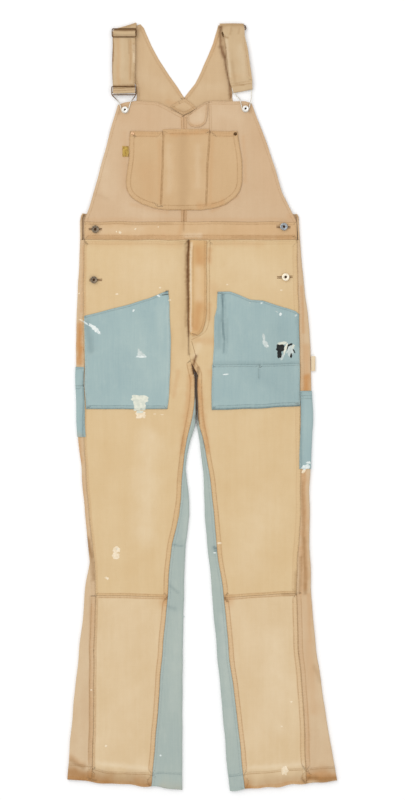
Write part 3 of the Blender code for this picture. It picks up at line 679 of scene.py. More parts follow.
def nearest(x: Array, y: Array, line: Array) -> tuple[Array, Array]:
    """How far places lie from a line, and where along it.

    Args:
        x, y: Places.
        line: The line's points.

    Returns:
        Signed distance, positive to the left of the line's direction, and the length along it.
    """
    best, side, run, walked = np.full(x.shape, FAR), np.ones(x.shape), np.zeros(x.shape), 0.0
    for (x0, y0), (x1, y1) in zip(line[:-1], line[1:]):
        dx, dy = x1 - x0, y1 - y0
        length = math.hypot(dx, dy)
        share = np.clip(((x - x0) * dx + (y - y0) * dy) / length**2, 0.0, 1.0)
        gap = np.hypot(x - x0 - share * dx, y - y0 - share * dy)
        closer = gap < best
        best = np.where(closer, gap, best)
        side = np.where(closer, np.sign(dx * (y - y0) - dy * (x - x0) + 1e-9), side)
        run = np.where(closer, walked + share * length, run)
        walked += length
    return best * side, run


@dataclass
class Seam:
    """A sewn line on one sheet, with its band on the left of the line's direction."""

    path: Array
    width: float                            # from the fold line to the second row of stitches
    rows: tuple[float, ...] = ()            # where its rows of stitches lie, from the line
    ridge: float = 0.35                     # how far the band stands proud
    stain: float = 0.15                     # how brown its band has gone
    mark: float = 0.3                       # how dark its fold and its second row are
    layer: Layer = Layer.TOP
    pucker: float = 0.16                    # height of the puckers in its band
    spacing: float = 13.0                   # their distance, which varies as the seam runs on
    uneven: float = 21.0                    # the length over which it does

    def __post_init__(self) -> None:
        """Takes a path given as corners too."""
        self.path = np.asarray(self.path, dtype=float)

    def height(self, away: Array, run: Array) -> Array:
        """How far its band lifts the cloth.

        Args:
            away: Signed distance from its line.
            run: Length along it.

        Returns:
            The height at each place.
        """
        share = away / self.width
        band = ease(share, -0.25, 0.15) * (1.0 - ease(share, 0.85, 1.5))
        pucker = np.sin(math.tau * run / self.spacing + 2.0 * np.sin(run / self.uneven)) * self.pucker
        return band * (self.ridge + pucker * min(1.0, self.ridge * 2.5))


def merged(node: str) -> bmesh.types.BMesh:
    """A CAD node's copy with its triangles joined, flat faces made whole, in millimetres."""
    shape = bmesh.new()
    shape.from_mesh(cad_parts[node].data)
    bmesh.ops.scale(shape, vec=(1 / MM,) * 3, verts=shape.verts)
    bmesh.ops.remove_doubles(shape, verts=shape.verts, dist=0.01)
    bmesh.ops.dissolve_limit(shape, angle_limit=math.radians(0.5), verts=shape.verts, edges=shape.edges)
    return shape


class Outline:
    """The edge of a flat node's upper face, run anticlockwise, so that its inside is on the left."""

    def __init__(self, node: str) -> None:
        """Walks round the upper face of a CAD node."""
        shape = merged(node)
        chosen = {face for face in shape.faces if face.normal.z > 0.8}
        follow = {}
        for face in chosen:
            for loop in face.loops:
                if not any(other is not face and other in chosen for other in loop.edge.link_faces):
                    follow[loop.vert] = loop.link_loop_next.vert
        walks = []
        while follow:
            walk = [next(iter(follow))]
            while walk[-1] in follow:
                walk.append(follow.pop(walk[-1]))
            walks.append([(vert.co.x, vert.co.y) for vert in walk[:-1]])
        shape.free()
        self.points = np.array(max(walks, key=len))

    def stretch(self, start: Point, end: Point) -> Array:
        """The edge's points from the corner nearest start to the corner nearest end.

        Args:
            start: Near the first corner.
            end: Near the last one.

        Returns:
            The points of that stretch.
        """
        first, last = (int(np.argmin(np.hypot(*(self.points - corner).T))) for corner in (start, end))
        count = (last - first) % len(self.points)
        return np.roll(self.points, -first, axis=0)[: count + 1]

    def soft(self, start: Point, end: Point, *sewing: object) -> Seam:
        """A seam along a stretch, its corners rounded."""
        return Seam(softened(self.stretch(start, end)), *sewing)

    def sharp(self, start: Point, end: Point, *sewing: object) -> Seam:
        """A seam along a stretch, its corners kept."""
        return Seam(resample(self.stretch(start, end)), *sewing)


class Crease(NamedTuple):
    """A soft trough or ridge: its two ends, half width, height, and bow to its left."""

    x0: float
    y0: float
    x1: float
    y1: float
    width: float
    rise: float
    bow: float = 0.0

    def height(self, x: Array, y: Array) -> Array:
        """Its height at each place."""
        dx, dy = self.x1 - self.x0, self.y1 - self.y0
        length = math.hypot(dx, dy)
        inside = np.clip(((x - self.x0) * dx + (y - self.y0) * dy) / length**2, 0.0, 1.0)
        off = (dx * (y - self.y0) - dy * (x - self.x0)) / length - self.bow * 4.0 * inside * (1.0 - inside)
        return self.rise * np.sin(math.pi * inside) ** 0.8 * np.exp(-((off / self.width) ** 2))


@dataclass
class Relief:
    """The lie of the cloth: broad waves, creases, seams that lift what is on them, a slight wander."""

    creases: list[Crease]
    seams: list[Seam]
    wave: float = 0.28
    wave_size: float = 120.0
    fine: float = 0.10          # height of the smaller waves
    fine_size: float = 38.0
    wander: float = 0.55        # how far straight lines stray
    wander_across: float = 70.0
    wander_along: float = 80.0
    hem_y: float = -690.0       # below this the hems are as uneven as washing leaves them
    hem_reach: float = 50.0
    hem_wander: float = 1.4
    hem_size: float = 42.0
    fork: float = -12.0         # where the legs part, and how far their edges are drawn together there
    drawn: float = 0.62
    fork_width: float = 14.0
    fork_foot: Point = (-76.0, -8.0)        # between these heights it comes, and between the next two it goes
    fork_top: Point = (50.0, 74.0)

    def height(self, x: Array, y: Array) -> Array:
        """How far the upper cloth stands above its flat form.

        Args:
            x, y: Places.

        Returns:
            The height at each place.
        """
        total = self.wave * ripple(x, y, self.wave_size, 5) + self.fine * ripple(x, y, self.fine_size, 11)
        for crease in self.creases:
            total = total + crease.height(x, y)
        for seam in self.seams:
            total = total + seam.height(*nearest(x, y, seam.path))
        return total

    def drift(self, x: Array, y: Array) -> tuple[Array, Array]:
        """How far the cloth lies from where its pattern puts it.

        Args:
            x, y: Places.

        Returns:
            The drift across and along at each place.
        """
        frayed = ease(-y, -self.hem_y, self.hem_reach - self.hem_y)
        hem = self.hem_wander * frayed * ripple(x, y, self.hem_size, 23)
        off = x - self.fork
        here = np.exp(-((off / self.fork_width) ** 2))
        shut = self.drawn * ease(y, *self.fork_foot) * (1.0 - ease(y, *self.fork_top)) * here
        across = self.wander * ripple(x, y, self.wander_across, 21) - shut * off
        return across, self.wander * ripple(x, y, self.wander_along, 22) + hem


# cloth sheets


def slice_along(shape: bmesh.types.BMesh, axis: int, cell: float) -> None:
    """Cuts a shape by evenly spaced planes, so that it can crease between them.

    Args:
        shape: The shape, changed in place.
        axis: Which axis the planes stand across.
        cell: Their spacing.
    """

    def reach(face: bmesh.types.BMFace) -> tuple[float, float]:
        """Lowest and highest place of a face along the axis."""
        places = [vert.co[axis] for vert in face.verts]
        return min(places), max(places)

    normal = Vector([1.0 if k == axis else 0.0 for k in range(3)])
    waiting = sorted(((*reach(face), face) for face in shape.faces), key=lambda item: -item[0])
    place = (math.floor(min(item[0] for item in waiting) / cell) + 1) * cell
    active: list[bmesh.types.BMFace] = []
    while waiting or active:
        while waiting and waiting[-1][0] < place - 1e-4:
            active.append(waiting.pop()[2])
        crossed = [face for face in active if reach(face)[1] > place + 1e-4]
        active = []
        if crossed:
            parts = {*crossed, *(e for f in crossed for e in f.edges), *(v for f in crossed for v in f.verts)}
            plane = {"plane_co": normal * place, "plane_no": normal}
            cut = bmesh.ops.bisect_plane(shape, geom=list(parts), dist=1e-5, **plane)
            faces = [item for item in cut["geom"] if isinstance(item, bmesh.types.BMFace)]
            active = [face for face in faces if reach(face)[1] > place + 1e-4]
        place += cell


class Tack(NamedTuple):
    """A bar tack: a short dense zigzag from one place to another, with its width and whether it is black."""

    x0: float
    y0: float
    x1: float
    y1: float
    width: float = 2.2
    black: bool = False


class Hole(NamedTuple):
    """A worked buttonhole along x."""

    x0: float
    x1: float
    y: float


@dataclass
class Sheet:
    """One piece of cloth: a thin shell on its solid's form, creased, sewn, worn and given painted shade."""

    node: str
    cloth: str
    cut: Cut
    seams: list[Seam] = field(default_factory=list)
    # strokes of real wear and of painted shade and highlight, by kind
    wear: dict[WearAndShade, list[Stroke]] = field(default_factory=dict)
    rests: tuple[str, ...] = ()
    cell: float = 3.0
    follow: float = 1.0                         # how much of the relief it takes
    tube: bool = False                          # its seams lie on its upper or its under layer
    lift: Point = (-2.0, -1.0)                  # heights between which it comes to follow the relief
    folds: list[Crease] = field(default_factory=list)
    pulls: list[Stroke] = field(default_factory=list)       # where it is drawn up, and by how much
    tacks: list[Tack] = field(default_factory=list)
    holes: list[Hole] = field(default_factory=list)
    extras: list[Item] = field(default_factory=list)
    item: Item | None = None
    slot: str = ""
    middle: float = 3.0                         # height between a tube's upper and under layers

    def build(self, relief: Relief, shop: Workshop) -> None:
        """Makes the sheet from its CAD node.

        Args:
            relief: The lie of the upper cloth.
            shop: Has its cloth.
        """
        finish, self.slot = shop.cloth[self.cloth]
        shape = merged(self.node)
        slice_along(shape, 1, self.cell)
        slice_along(shape, 0, self.cell)
        bmesh.ops.triangulate(shape, faces=[face for face in shape.faces if len(face.verts) > 4])
        mesh = bpy.data.meshes.new(self.node + "_cloth")
        shape.to_mesh(mesh)
        shape.free()
        places = np.empty(len(mesh.vertices) * 3)
        mesh.vertices.foreach_get("co", places)
        places = places.reshape(-1, 3)
        x, y, z = places.T.copy()
        values, band = self.read_seams(x, y, z)
        rise = self.follow * relief.height(x, y) + sum(fold.height(x, y) for fold in self.folds)
        places[:, 2] = np.maximum(z + ease(z, *self.lift) * rise + band, np.minimum(z, 0.0))
        places[:, :2] += np.stack(relief.drift(x, y), axis=1)
        for x0, y0, x1, y1, width, amount in self.pulls:
            away, _ = nearest(x, y, [(x0, y0), (x1, y1)])
            places[:, 1] += np.exp(-((away / width) ** 2)) * amount
        mesh.vertices.foreach_set("co", (places * MM).ravel())
        values |= {wear.value: self.read_wear_and_shade(x, y, wear) for wear in WearAndShade}
        for name, numbers in values.items():
            mark_vertices(mesh, name, numbers.astype(np.float32))
        self.item = placed(mesh, finish)
        bpy.ops.object.select_all(action="DESELECT")
        self.item.select_set(True)
        bpy.context.view_layer.objects.active = self.item
        bpy.ops.object.shade_smooth_by_angle(angle=math.radians(50))
        LOG.info("%s: %d faces", mesh.name, len(mesh.polygons))

    def read_seams(self, x: Array, y: Array, z: Array) -> tuple[dict[str, Array], Array]:
        """Where each vertex lies in the nearest seam's band.

        Args:
            x, y, z: The vertices' places.

        Returns:
            The attributes that the finishes read, and the height of the seams' own bands.
        """
        near, second, away, wide = *(np.full(x.shape, FAR) for _ in range(3)), np.ones(x.shape)
        run, stain, mark, height = (np.zeros(x.shape) for _ in range(4))
        above = z > self.middle if self.tube else np.ones(x.shape, dtype=bool)
        for seam in self.seams:
            mine = above if seam.layer is Layer.TOP else ~above
            off, along = nearest(x, y, seam.path)
            far = np.where(mine, np.abs(off), FAR)
            closer = far < near
            second = np.where(closer, near, np.minimum(second, far))
            news = (far, off, along, seam.width, seam.stain, seam.mark)
            olds = (near, away, run, wide, stain, mark)
            near, away, run, wide, stain, mark = (np.where(closer, new, old) for new, old in zip(news, olds))
            if seam.layer is Layer.TOP and seam.ridge > 0:
                height = height + mine * seam.height(off, along)
        mark *= 1.0 - np.exp(-(((second - near) / (1.4 * self.cell)) ** 2)) * (near > 1.2)
        return {"near": near, "away": away, "wide": wide, "run": run, "stain": stain, "mark": mark}, height

    def read_wear_and_shade(self, x: Array, y: Array, wear: WearAndShade) -> Array:
        """How strongly one kind of stroke shows: wear, painted shade, painted highlight.

        Args:
            x, y: The vertices' places.
            wear: The kind.

        Returns:
            Its strength at each vertex.
        """
        total = np.zeros(x.shape)
        for x0, y0, x1, y1, width, amount in self.wear.get(wear, []):
            away, _ = nearest(x, y, [(x0, y0), (x1, y1 + 0.01)])
            uneven = 1.0 + 0.25 * ripple(x, y, 2.5 * width, 7)
            total = np.maximum(total, amount * np.exp(-((away / (width * uneven)) ** 2)))
        return total

    def declare(self) -> None:
        """Parents the sheet and its extras to the root body and hides its CAD node."""
        for piece in [self.item, *self.extras]:
            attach(piece, "root")
        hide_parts(self.node)


AROUND = {"tube": True, "lift": (1.6, 4.4)}     # what holds for every sheet that goes round a tube


# trousers


@dataclass(frozen=True)
class Leg:
    """Where one leg is cut and sewn: stretches of its fronts' edges, and its rows of stitches."""

    side: str
    outer: tuple[Stretch, Stretch]              # the side seam along the thigh and along the shin
    upward: int                                 # -1 where that seam has to be turned to run upwards
    inner: tuple[Stretch, Stretch]
    knee: Stretch
    hem: Stretch
    hem_row: Stitches
    waist: Stitches
    thigh_side: Sewing
    shin_side: Sewing
    opening: Stitches                           # the fold or the row beside the fly
    opening_sewing: Sewing
    tack: Tack
    hole: Hole
    back_rows: tuple[float, ...]
    side_hem: Stitches                          # what shows of the back's hem beside the front, and its row
    side_row: Stitches
    under_hem: Stitches                         # the back's hem underneath, and its row
    under_row: Stitches
    centre: Stitches                            # the centre back seam
    inseam: Stitches                            # the inner seam underneath
    gusset_hem: Stitches
    gusset_row: Stitches
    cuts: dict[str, Cut]

    def line(self, *stretches: Stretch) -> Array:
        """Stretches of the fronts' edges, end to end and softened."""
        parts = [Outline(f"front_{part}_{self.side}").stretch(start, end) for part, start, end in stretches]
        return softened(np.concatenate(parts))


LEGS = (
    Leg(
        side="left",
        outer=(("thigh", (-236, 332), (-213, -378)), ("shin", (-213, -382), (-219, -747))),
        upward=-1,
        inner=(("shin", (-100, -764), (-69, -382)), ("thigh", (-69, -381), (-20, 85))),
        knee=("thigh", (-213, -379), (-69, -383)),
        hem=("shin", (-219, -749), (-100, -765)),
        hem_row=[(-236, -729), (-213, -727), (-191, -732), (-150, -733), (-98, -734)],
        waist=[(-28, 330), (-236, 330)],
        thigh_side=(4.0, (1.6,), 0.0, 0.2, 0.1),
        shin_side=(4.0, (1.6,), 0.0, 0.25, 0.35),
        opening=[(-21, 95), (-27, 140), (-28, 215), (-27.5, 275), (-27, 331)],
        opening_sewing=(7.0, (), 0.4, 0.0, 0.0),
        tack=Tack(-24, 118, -26, 146, 2.0),
        hole=Hole(-225, -199, 253.4),
        back_rows=(1.4, 8.4),
        side_hem=[(-269, -745), (-220, -749)],
        side_row=[(-267, -716), (-240, -718), (-214, -721)],
        under_hem=[(-100, -765), (-269, -746)],
        under_row=[(-98, -738), (-266, -718)],
        centre=[(-18, 84), (-26, 152), (-35, 331)],
        inseam=[(-101, -765), (-69, -382), (-37, -124), (-17, 60)],
        gusset_hem=[(-100, -766), (-42, -764)],
        gusset_row=[(-98, -734), (-42, -735)],
        cuts={"thigh": (0.220, 0.714, 0.1395), "shin": (0.150, 0.382, 0.050), "back": (0.275, 1.10, 0.237),
              "gusset": (0.13, 0.83, 0.051)},
    ),
    Leg(
        side="right",
        outer=(("thigh", (189, -370), (190, 332)), ("shin", (209, -748), (189, -372))),
        upward=1,
        inner=(("thigh", (-20, 85), (43, -382)), ("shin", (43, -385), (85, -767))),
        knee=("thigh", (43, -385), (189, -371)),
        hem=("shin", (85, -768), (209, -748)),
        hem_row=[(84, -735), (96, -734), (150, -730), (208, -725)],
        waist=[(190, 330), (-26, 330)],
        thigh_side=(8.5, (1.2,), 0.0, 0.12, 0.14),
        shin_side=(8.5, (1.2, 7.6), 0.0, 0.25, 0.35),
        opening=[(14.6, 331), (14.4, 250), (15.2, 200), (15, 172), (9, 152), (-2, 144), (-14, 138),
                 (-22, 134)],
        opening_sewing=(1.0, (0.2,), 0.0, 0.0, 0.2),
        tack=Tack(-21, 131, -12, 101, 2.4),
        hole=Hole(150, 181, 258.6),
        back_rows=(1.2,),
        side_hem=[(209, -747), (269, -746)],
        side_row=[(206, -725), (234, -723), (266, -722)],
        under_hem=[(269, -747), (85, -768)],
        under_row=[(268, -722), (84, -740)],
        centre=[(-35, 331), (-26, 152), (-18, 84)],
        inseam=[(-6, 60), (14, -134), (43, -384), (85, -768)],
        gusset_hem=[(57, -762), (85, -768)],
        gusset_row=[(54, -737), (84, -735)],
        cuts={"thigh": (0.225, 0.714, 0.139), "shin": (0.165, 0.392, 0.0525), "back": (0.33, 1.10, 0.254),
              "gusset": (0.10, 0.83, 0.034)},
    ),
)


@dataclass
class Trousers:
    """The hips and legs: fronts, backs wrapped round the sides, gussets and the knee seams."""

    felled: float = 8.5         # width of a felled seam's band
    knee: float = 4.0
    hem: float = 5.0            # width of a hem's stained edge

    def lifting(self) -> list[Seam]:
        """The seams that lift whatever lies on the fronts."""
        seams = []
        for leg in LEGS:
            seams += [Seam(leg.line(outer)[:: leg.upward], self.felled, ridge=0.35) for outer in leg.outer]
            seams.append(Seam(leg.line(*leg.inner), self.felled, ridge=0.4))
            knee = leg.line(leg.knee)
            seams += [Seam(line, self.knee, ridge=0.3) for line in (knee, knee[::-1])]
        return seams

    def hemmed(self, hem: Array, row: Stitches, layer: Layer = Layer.TOP) -> list[Seam]:
        """A hem's stained edge and the row that holds it."""
        held = Seam(resample(row), 3.0, (0.4,), 0.35 if layer is Layer.TOP else 0.0, 0.0, 0.3, layer)
        return [Seam(hem, self.hem, (), 0.0, 0.35, 0.0, layer), held]

    def fronts(self, leg: Leg) -> list[Sheet]:
        """Both front pieces of one leg.

        Args:
            leg: The leg.

        Returns:
            The thigh and the shin.
        """
        thigh_outer, shin_outer = (leg.line(outer) for outer in leg.outer)
        knee = leg.line(leg.knee)
        inner = Seam(leg.line(*leg.inner), self.felled, (1.4, 8.4), 0.0, 0.3, 0.34)
        thigh = [
            Seam(thigh_outer, *leg.thigh_side),
            inner,
            Seam(knee, self.knee, (3.4,), 0.0, 0.3, 0.3),
            Seam(leg.waist, 5.0, (), 0.0, 0.1, 0.12),
            Seam(softened(leg.opening), *leg.opening_sewing),
        ]
        shin = [
            Seam(shin_outer, *leg.shin_side),
            inner,
            Seam(knee[::-1], self.knee, (3.6,), 0.0, 0.3, 0.3),
            *self.hemmed(leg.line(leg.hem), leg.hem_row),
        ]
        rests = (f"back_leg_{leg.side}",)
        return [
            Sheet(f"front_thigh_{leg.side}", "hip", leg.cuts["thigh"], thigh, FRONT_WEAR_AND_SHADE, rests,
                  tacks=[leg.tack], holes=[leg.hole]),
            Sheet(f"front_shin_{leg.side}", "leg", leg.cuts["shin"], shin, FRONT_WEAR_AND_SHADE, rests),
        ]

    def back(self, leg: Leg) -> Sheet:
        """The back of one leg, wrapped round the side to the side seam.

        Args:
            leg: The leg.

        Returns:
            The sheet.
        """
        thigh_outer, shin_outer = (leg.line(outer)[::-1] for outer in leg.outer)
        seams = [
            Seam(thigh_outer, self.felled, leg.back_rows[:1], 0.0, 0.1, 0.12),
            Seam(shin_outer, self.felled, leg.back_rows, 0.0, 0.25, 0.35),
            *self.hemmed(leg.side_hem, leg.side_row),
            *(Seam(softened(path), self.felled, (1.4, 8.4), 0.0, layer=Layer.UNDER)
              for path in (leg.centre, leg.inseam)),
            *self.hemmed(leg.under_hem, leg.under_row, Layer.UNDER),
        ]
        return Sheet(f"back_leg_{leg.side}", "side", leg.cuts["back"], seams, SIDE_WEAR_AND_SHADE,
                     **AROUND, cell=3.3)

    def gusset(self, leg: Leg) -> Sheet:
        """The denim let into the inner side of one leg.

        Args:
            leg: The leg.

        Returns:
            The sheet.
        """
        inner = Seam(leg.line(*leg.inner)[::-1], 5.0, (), 0.0, 0.0, 0.2)
        seams = [inner, *self.hemmed(leg.gusset_hem, leg.gusset_row)]
        return Sheet(f"gusset_{leg.side}", "denim_gusset", leg.cuts["gusset"], seams, GUSSET_WEAR_AND_SHADE,
                     **AROUND, pulls=[(-26, 60, 0, 60, 7, 9)])

    def stand(self, leg: Leg) -> Sheet:
        """The underlap of a side opening, behind its buttons."""
        return Sheet(f"side_stand_{leg.side}", "back", (0.036, 0.12, 0.0042),
                     rests=(f"back_leg_{leg.side}",), cell=6.0, follow=0.0)

    def sheets(self) -> list[Sheet]:
        """All the pieces of the hips and legs."""
        made = []
        for leg in LEGS:
            made += [self.back(leg), self.gusset(leg), *self.fronts(leg), self.stand(leg)]
        return made


FRONT_WEAR_AND_SHADE = {
    WearAndShade.RUST: [
        (-46, 70, -58, 20, 5, 0.3), (-26, 60, -40, -90, 5, 0.45), (-4, 50, 12, -90, 5, 0.45),
        (24, 20, 18, 70, 6, 0.3), (-236, 300, -236, 180, 5, 0.15), (-66, 150, -64, 30, 6, 0.25),
        (-10, 134, 24, 130, 9, 0.3), (14, 316, 15, 290, 5, 0.55), (15, 204, 14, 176, 4, 0.45),
        (120, 324, -20, 326, 6, 0.2), (-230, 326, -40, 324, 6, 0.2), (192, 300, 194, 220, 4, 0.2),
        (24, 238, 26, 232, 14, 0.2), (-212, -746, -190, -748, 12, 0.7), (-180, -752, -130, -756, 9, 0.3),
        (-128, -748, -102, -756, 11, 0.65), (86, -766, 120, -760, 9, 0.5), (130, -756, 208, -748, 8, 0.3),
        (-108, -758, -100, -766, 12, 0.7), (86, -766, 92, -762, 12, 0.8), (-70, -378, -78, -392, 9, 0.4),
        (46, -382, 56, -388, 9, 0.4),
    ],
    # Bleached patches, and painted highlight along the hems' ridges above their rows.
    WearAndShade.PALE: [
        (-150, 260, -70, 280, 38, 0.14), (60, 280, 150, 262, 38, 0.1), (-104, -60, -114, -250, 22, 0.3),
        (120, -200, 90, -320, 34, 0.16), (140, -470, 150, -640, 34, 0.16), (-8, 124, -12, 104, 6, 0.3),
        (-208, -712, -110, -724, 5, 0.35), (96, -722, 200, -714, 5, 0.35),
    ],
    # Grime along hems and seams, and painted shade beside the fly's gap.
    WearAndShade.GRIME: [
        (-31, 330, -32, 160, 4, 0.5), (-34, 330, -36, 120, 9, 0.14), (-42, 330, -30, 322, 7, 0.2),
        (-72, -384, -68, -382, 3.5, 0.7), (47, -384, 50, -386, 3.5, 0.55), (-40, -60, -44, -150, 3, 0.2),
        (-98, -758, -108, -762, 6, 0.8), (86, -762, 96, -766, 5, 0.75), (200, -742, 208, -750, 5, 0.75),
        (-190, -734, -112, -738, 2.4, 0.5), (-150, -744, -104, -746, 3, 0.35),
        (-214, -742, -104, -752, 16, 0.56), (90, -754, 206, -742, 14, 0.34),
        (188, -330, 186, -372, 3.5, 0.45), (160, -376, 188, -374, 3, 0.4),
    ],
    # Painted shade in the fly's gap and in the opening between the legs.
    WearAndShade.DEEP: [
        (-27, 331, -28.8, 250, 2.8, 1), (-28.8, 250, -27.8, 190, 2.4, 0.95), (-27.8, 190, -27, 140, 2, 0.85),
        (-27, 140, -25.5, 104, 1.6, 0.6), (-12, 101, -17, 84, 2.6, 0.95), (-17, 84, -17.5, 66, 2.8, 0.95),
        (-8, 78, -6.5, 40, 1.8, 0.9), (-6.5, 40, -3, -34, 1.5, 0.6), (-17, 60, -18, 40, 1.6, 0.5),
    ],
}
SIDE_WEAR_AND_SHADE = {
    WearAndShade.RUST: [
        (-243, 164, -246, 88, 7, 1), (-238, 320, -240, 190, 2.4, 0.4), (-246, -62, -242, -110, 5, 0.5),
        (-240, -140, -228, -280, 4, 0.25), (209, 118, 208, 66, 8, 0.45), (208, 60, 208, 34, 9, 1),
        (199, 240, 203, 150, 3, 0.5), (203, -130, 206, -360, 7, 0.6), (198, -280, 199, -372, 4, 0.4),
        (213, -376, 216, -470, 5, 0.4), (200, -340, 212, -520, 6, 0.2), (-262, -736, -224, -742, 14, 0.9),
        (214, -738, 262, -738, 13, 0.9), (-266, -700, -240, -716, 6, 0.4), (-222, -400, -222, -700, 3, 0.2),
        (210, -420, 213, -700, 3, 0.25), (214, -470, 222, -610, 11, 0.3),
    ],
    # The fronts' bleached patches and painted hem highlights.
    WearAndShade.PALE: FRONT_WEAR_AND_SHADE[WearAndShade.PALE],
    WearAndShade.GRIME: [
        (-228, -262, -220, -300, 4.5, 0.75), (-220, -300, -216, -345, 4, 0.6),
        (200, -150, 203, -260, 2.6, 0.5), (204, -262, 207, -372, 3.5, 0.6), (197, -300, 195, -372, 2.4, 0.5),
        (-262, -706, -238, -722, 6, 0.5), (-268, -732, -222, -740, 14, 0.55),
        (-268, -746, -232, -748, 5, 0.7), (214, -742, 230, -744, 6, 0.9), (236, -746, 266, -742, 9, 0.75),
        (212, -728, 266, -726, 8, 0.25), (-224, -380, -224, -740, 2, 0.25), (224, -520, 236, -548, 4, 0.25),
    ],
    # Painted shade in the crotch opening.
    WearAndShade.DEEP: [(-12, 92, -14, 60, 7, 1), (-13, 60, -12, -20, 6, 1)],
}
GUSSET_WEAR_AND_SHADE = {
    WearAndShade.RUST: [
        (-78, -760, -44, -764, 10, 0.2),
    ],
    WearAndShade.PALE: [
        (-46, -420, -60, -600, 12, 0.2), (40, -420, 56, -640, 8, 0.3), (-30, -190, -34, -260, 6, 0.3),
    ],
    WearAndShade.GRIME: [
        (-58, -276, -40, -279, 2, 0.4), (24, -280, 31, -283, 2.4, 0.8), (25, -286, 32, -289, 2, 0.6),
        (-66, -356, -48, -372, 2.4, 0.3), (-80, -394, -54, -404, 4, 0.25),
    ],
    # Painted shade in the slit between the legs and at the crotch.
    WearAndShade.DEEP: [
        (-12, 92, -12, 20, 10, 1), (-11, 20, -10.5, -16, 6, 1), (-11, -16, -10.5, -34, 3.6, 0.8),
        (-6, 60, -3, -24, 6, 1), (-3, -24, 6, -80, 3, 0.6),
    ],
}


# bands, bib and back bib


@dataclass
class Waist:
    """The buttoned front band and the back band that comes round to meet it."""

    foot: Sewing = (8.5, (2.0, 8.4), 0.25, 0.1, 0.2)
    head: Sewing = (5.0, (4.6,), 0.2, 0.05, 0.2)
    end: Sewing = (2.4, (2.2,), 0.15, 0.0, 0.0)

    def sheets(self) -> list[Sheet]:
        """Both bands."""
        front = Outline("waistband_front")
        seams = [
            front.sharp((-235, 333), (190, 333), *self.foot),
            front.sharp((190, 369), (-235, 369), *self.head),
            front.sharp((-235, 369), (-235, 333), *self.end),
            front.sharp((190, 333), (190, 369), *self.end),
        ]
        wear = {
            WearAndShade.RUST: [
                (-225, 340, 180, 340, 6, 0.25), (60, 352, 184, 352, 16, 0.14), (150, 338, 186, 340, 7, 0.35),
                (-44, 346, -40, 362, 5, 0.3),
            ],
            WearAndShade.GRIME: [
                (-36.5, 370, -36, 352, 2, 0.45), (-228, 337, -100, 338, 3.4, 0.34),
                (-100, 338, 60, 337, 3, 0.22), (60, 338, 186, 339, 3.4, 0.36),
                (-226, 367, -60, 366, 2.6, 0.24), (20, 368, 150, 367, 2.4, 0.2),
            ],
            WearAndShade.PALE: [(-32, 341, -4, 342, 5, 0.4), (-200, 350, -120, 356, 9, 0.15)],
        }
        back_seams = [
            Seam([(-243, 334), (196, 334)], 8.5, (2.0, 8.4), 0.0, layer=Layer.UNDER),
            Seam([(180, 385), (-230, 385)], 6.0, (2.0, 5.6), 0.0, layer=Layer.UNDER),
        ]
        back_wear = {
            WearAndShade.GRIME: [(-236, 384, -242, 374, 3, 0.5), (188, 384, 193, 376, 3, 0.4)],
            WearAndShade.RUST: [(-242, 330, -240, 384, 6, 0.12), (194, 330, 190, 384, 6, 0.2)],
        }
        return [
            Sheet("waistband_front", "band", (0.425, 0.036, 0.0153), seams, wear,
                  ("waistband_back",), holes=[Hole(-226, -199, 354.6), Hole(148, 177, 359.6)]),
            Sheet("waistband_back", "side", (0.47, 0.052, 0.0241), back_seams, back_wear, **AROUND),
        ]


@dataclass
class Fly:
    """The fly's placket on the right front, with the darker canvas that its washing left."""

    edge: Sewing = (4.0, (2.0,), 0.15, 0.1, 0.35)
    fold: Sewing = (3.0, (), 0.3, 0.0, 0.0)

    def sheets(self) -> list[Sheet]:
        """The placket."""
        outline = Outline("fly_placket")
        seams = [
            outline.soft((-20, 141), (8, 331), *self.edge),
            outline.soft((-26, 331), (-26, 150), *self.fold),
        ]
        wear = {
            WearAndShade.RUST: [(-8, 314, -4, 290, 11, 0.75), (-7, 200, -11, 158, 11, 0.7)],
            WearAndShade.PALE: [
                (-21.4, 326, -22.6, 230, 1.7, 0.95), (-22.6, 230, -22, 150, 1.5, 0.7),
                (-8, 274, -8, 218, 9, 0.2),
            ],
            WearAndShade.GRIME: [(-18, 320, -18.6, 160, 1.2, 0.4)],
            # Painted shade in the gap beside the placket's fold.
            WearAndShade.DEEP: [(-26.4, 331, -27.4, 250, 2.6, 1), (-27.4, 250, -26.8, 145, 2.2, 0.95)],
        }
        return [Sheet("fly_placket", "fly", (0.036, 0.19, 0.0066), seams, wear,
                      ("front_thigh_right",), cell=2.5, tacks=[Tack(-20, 146, -10, 143.5, 2.2)])]


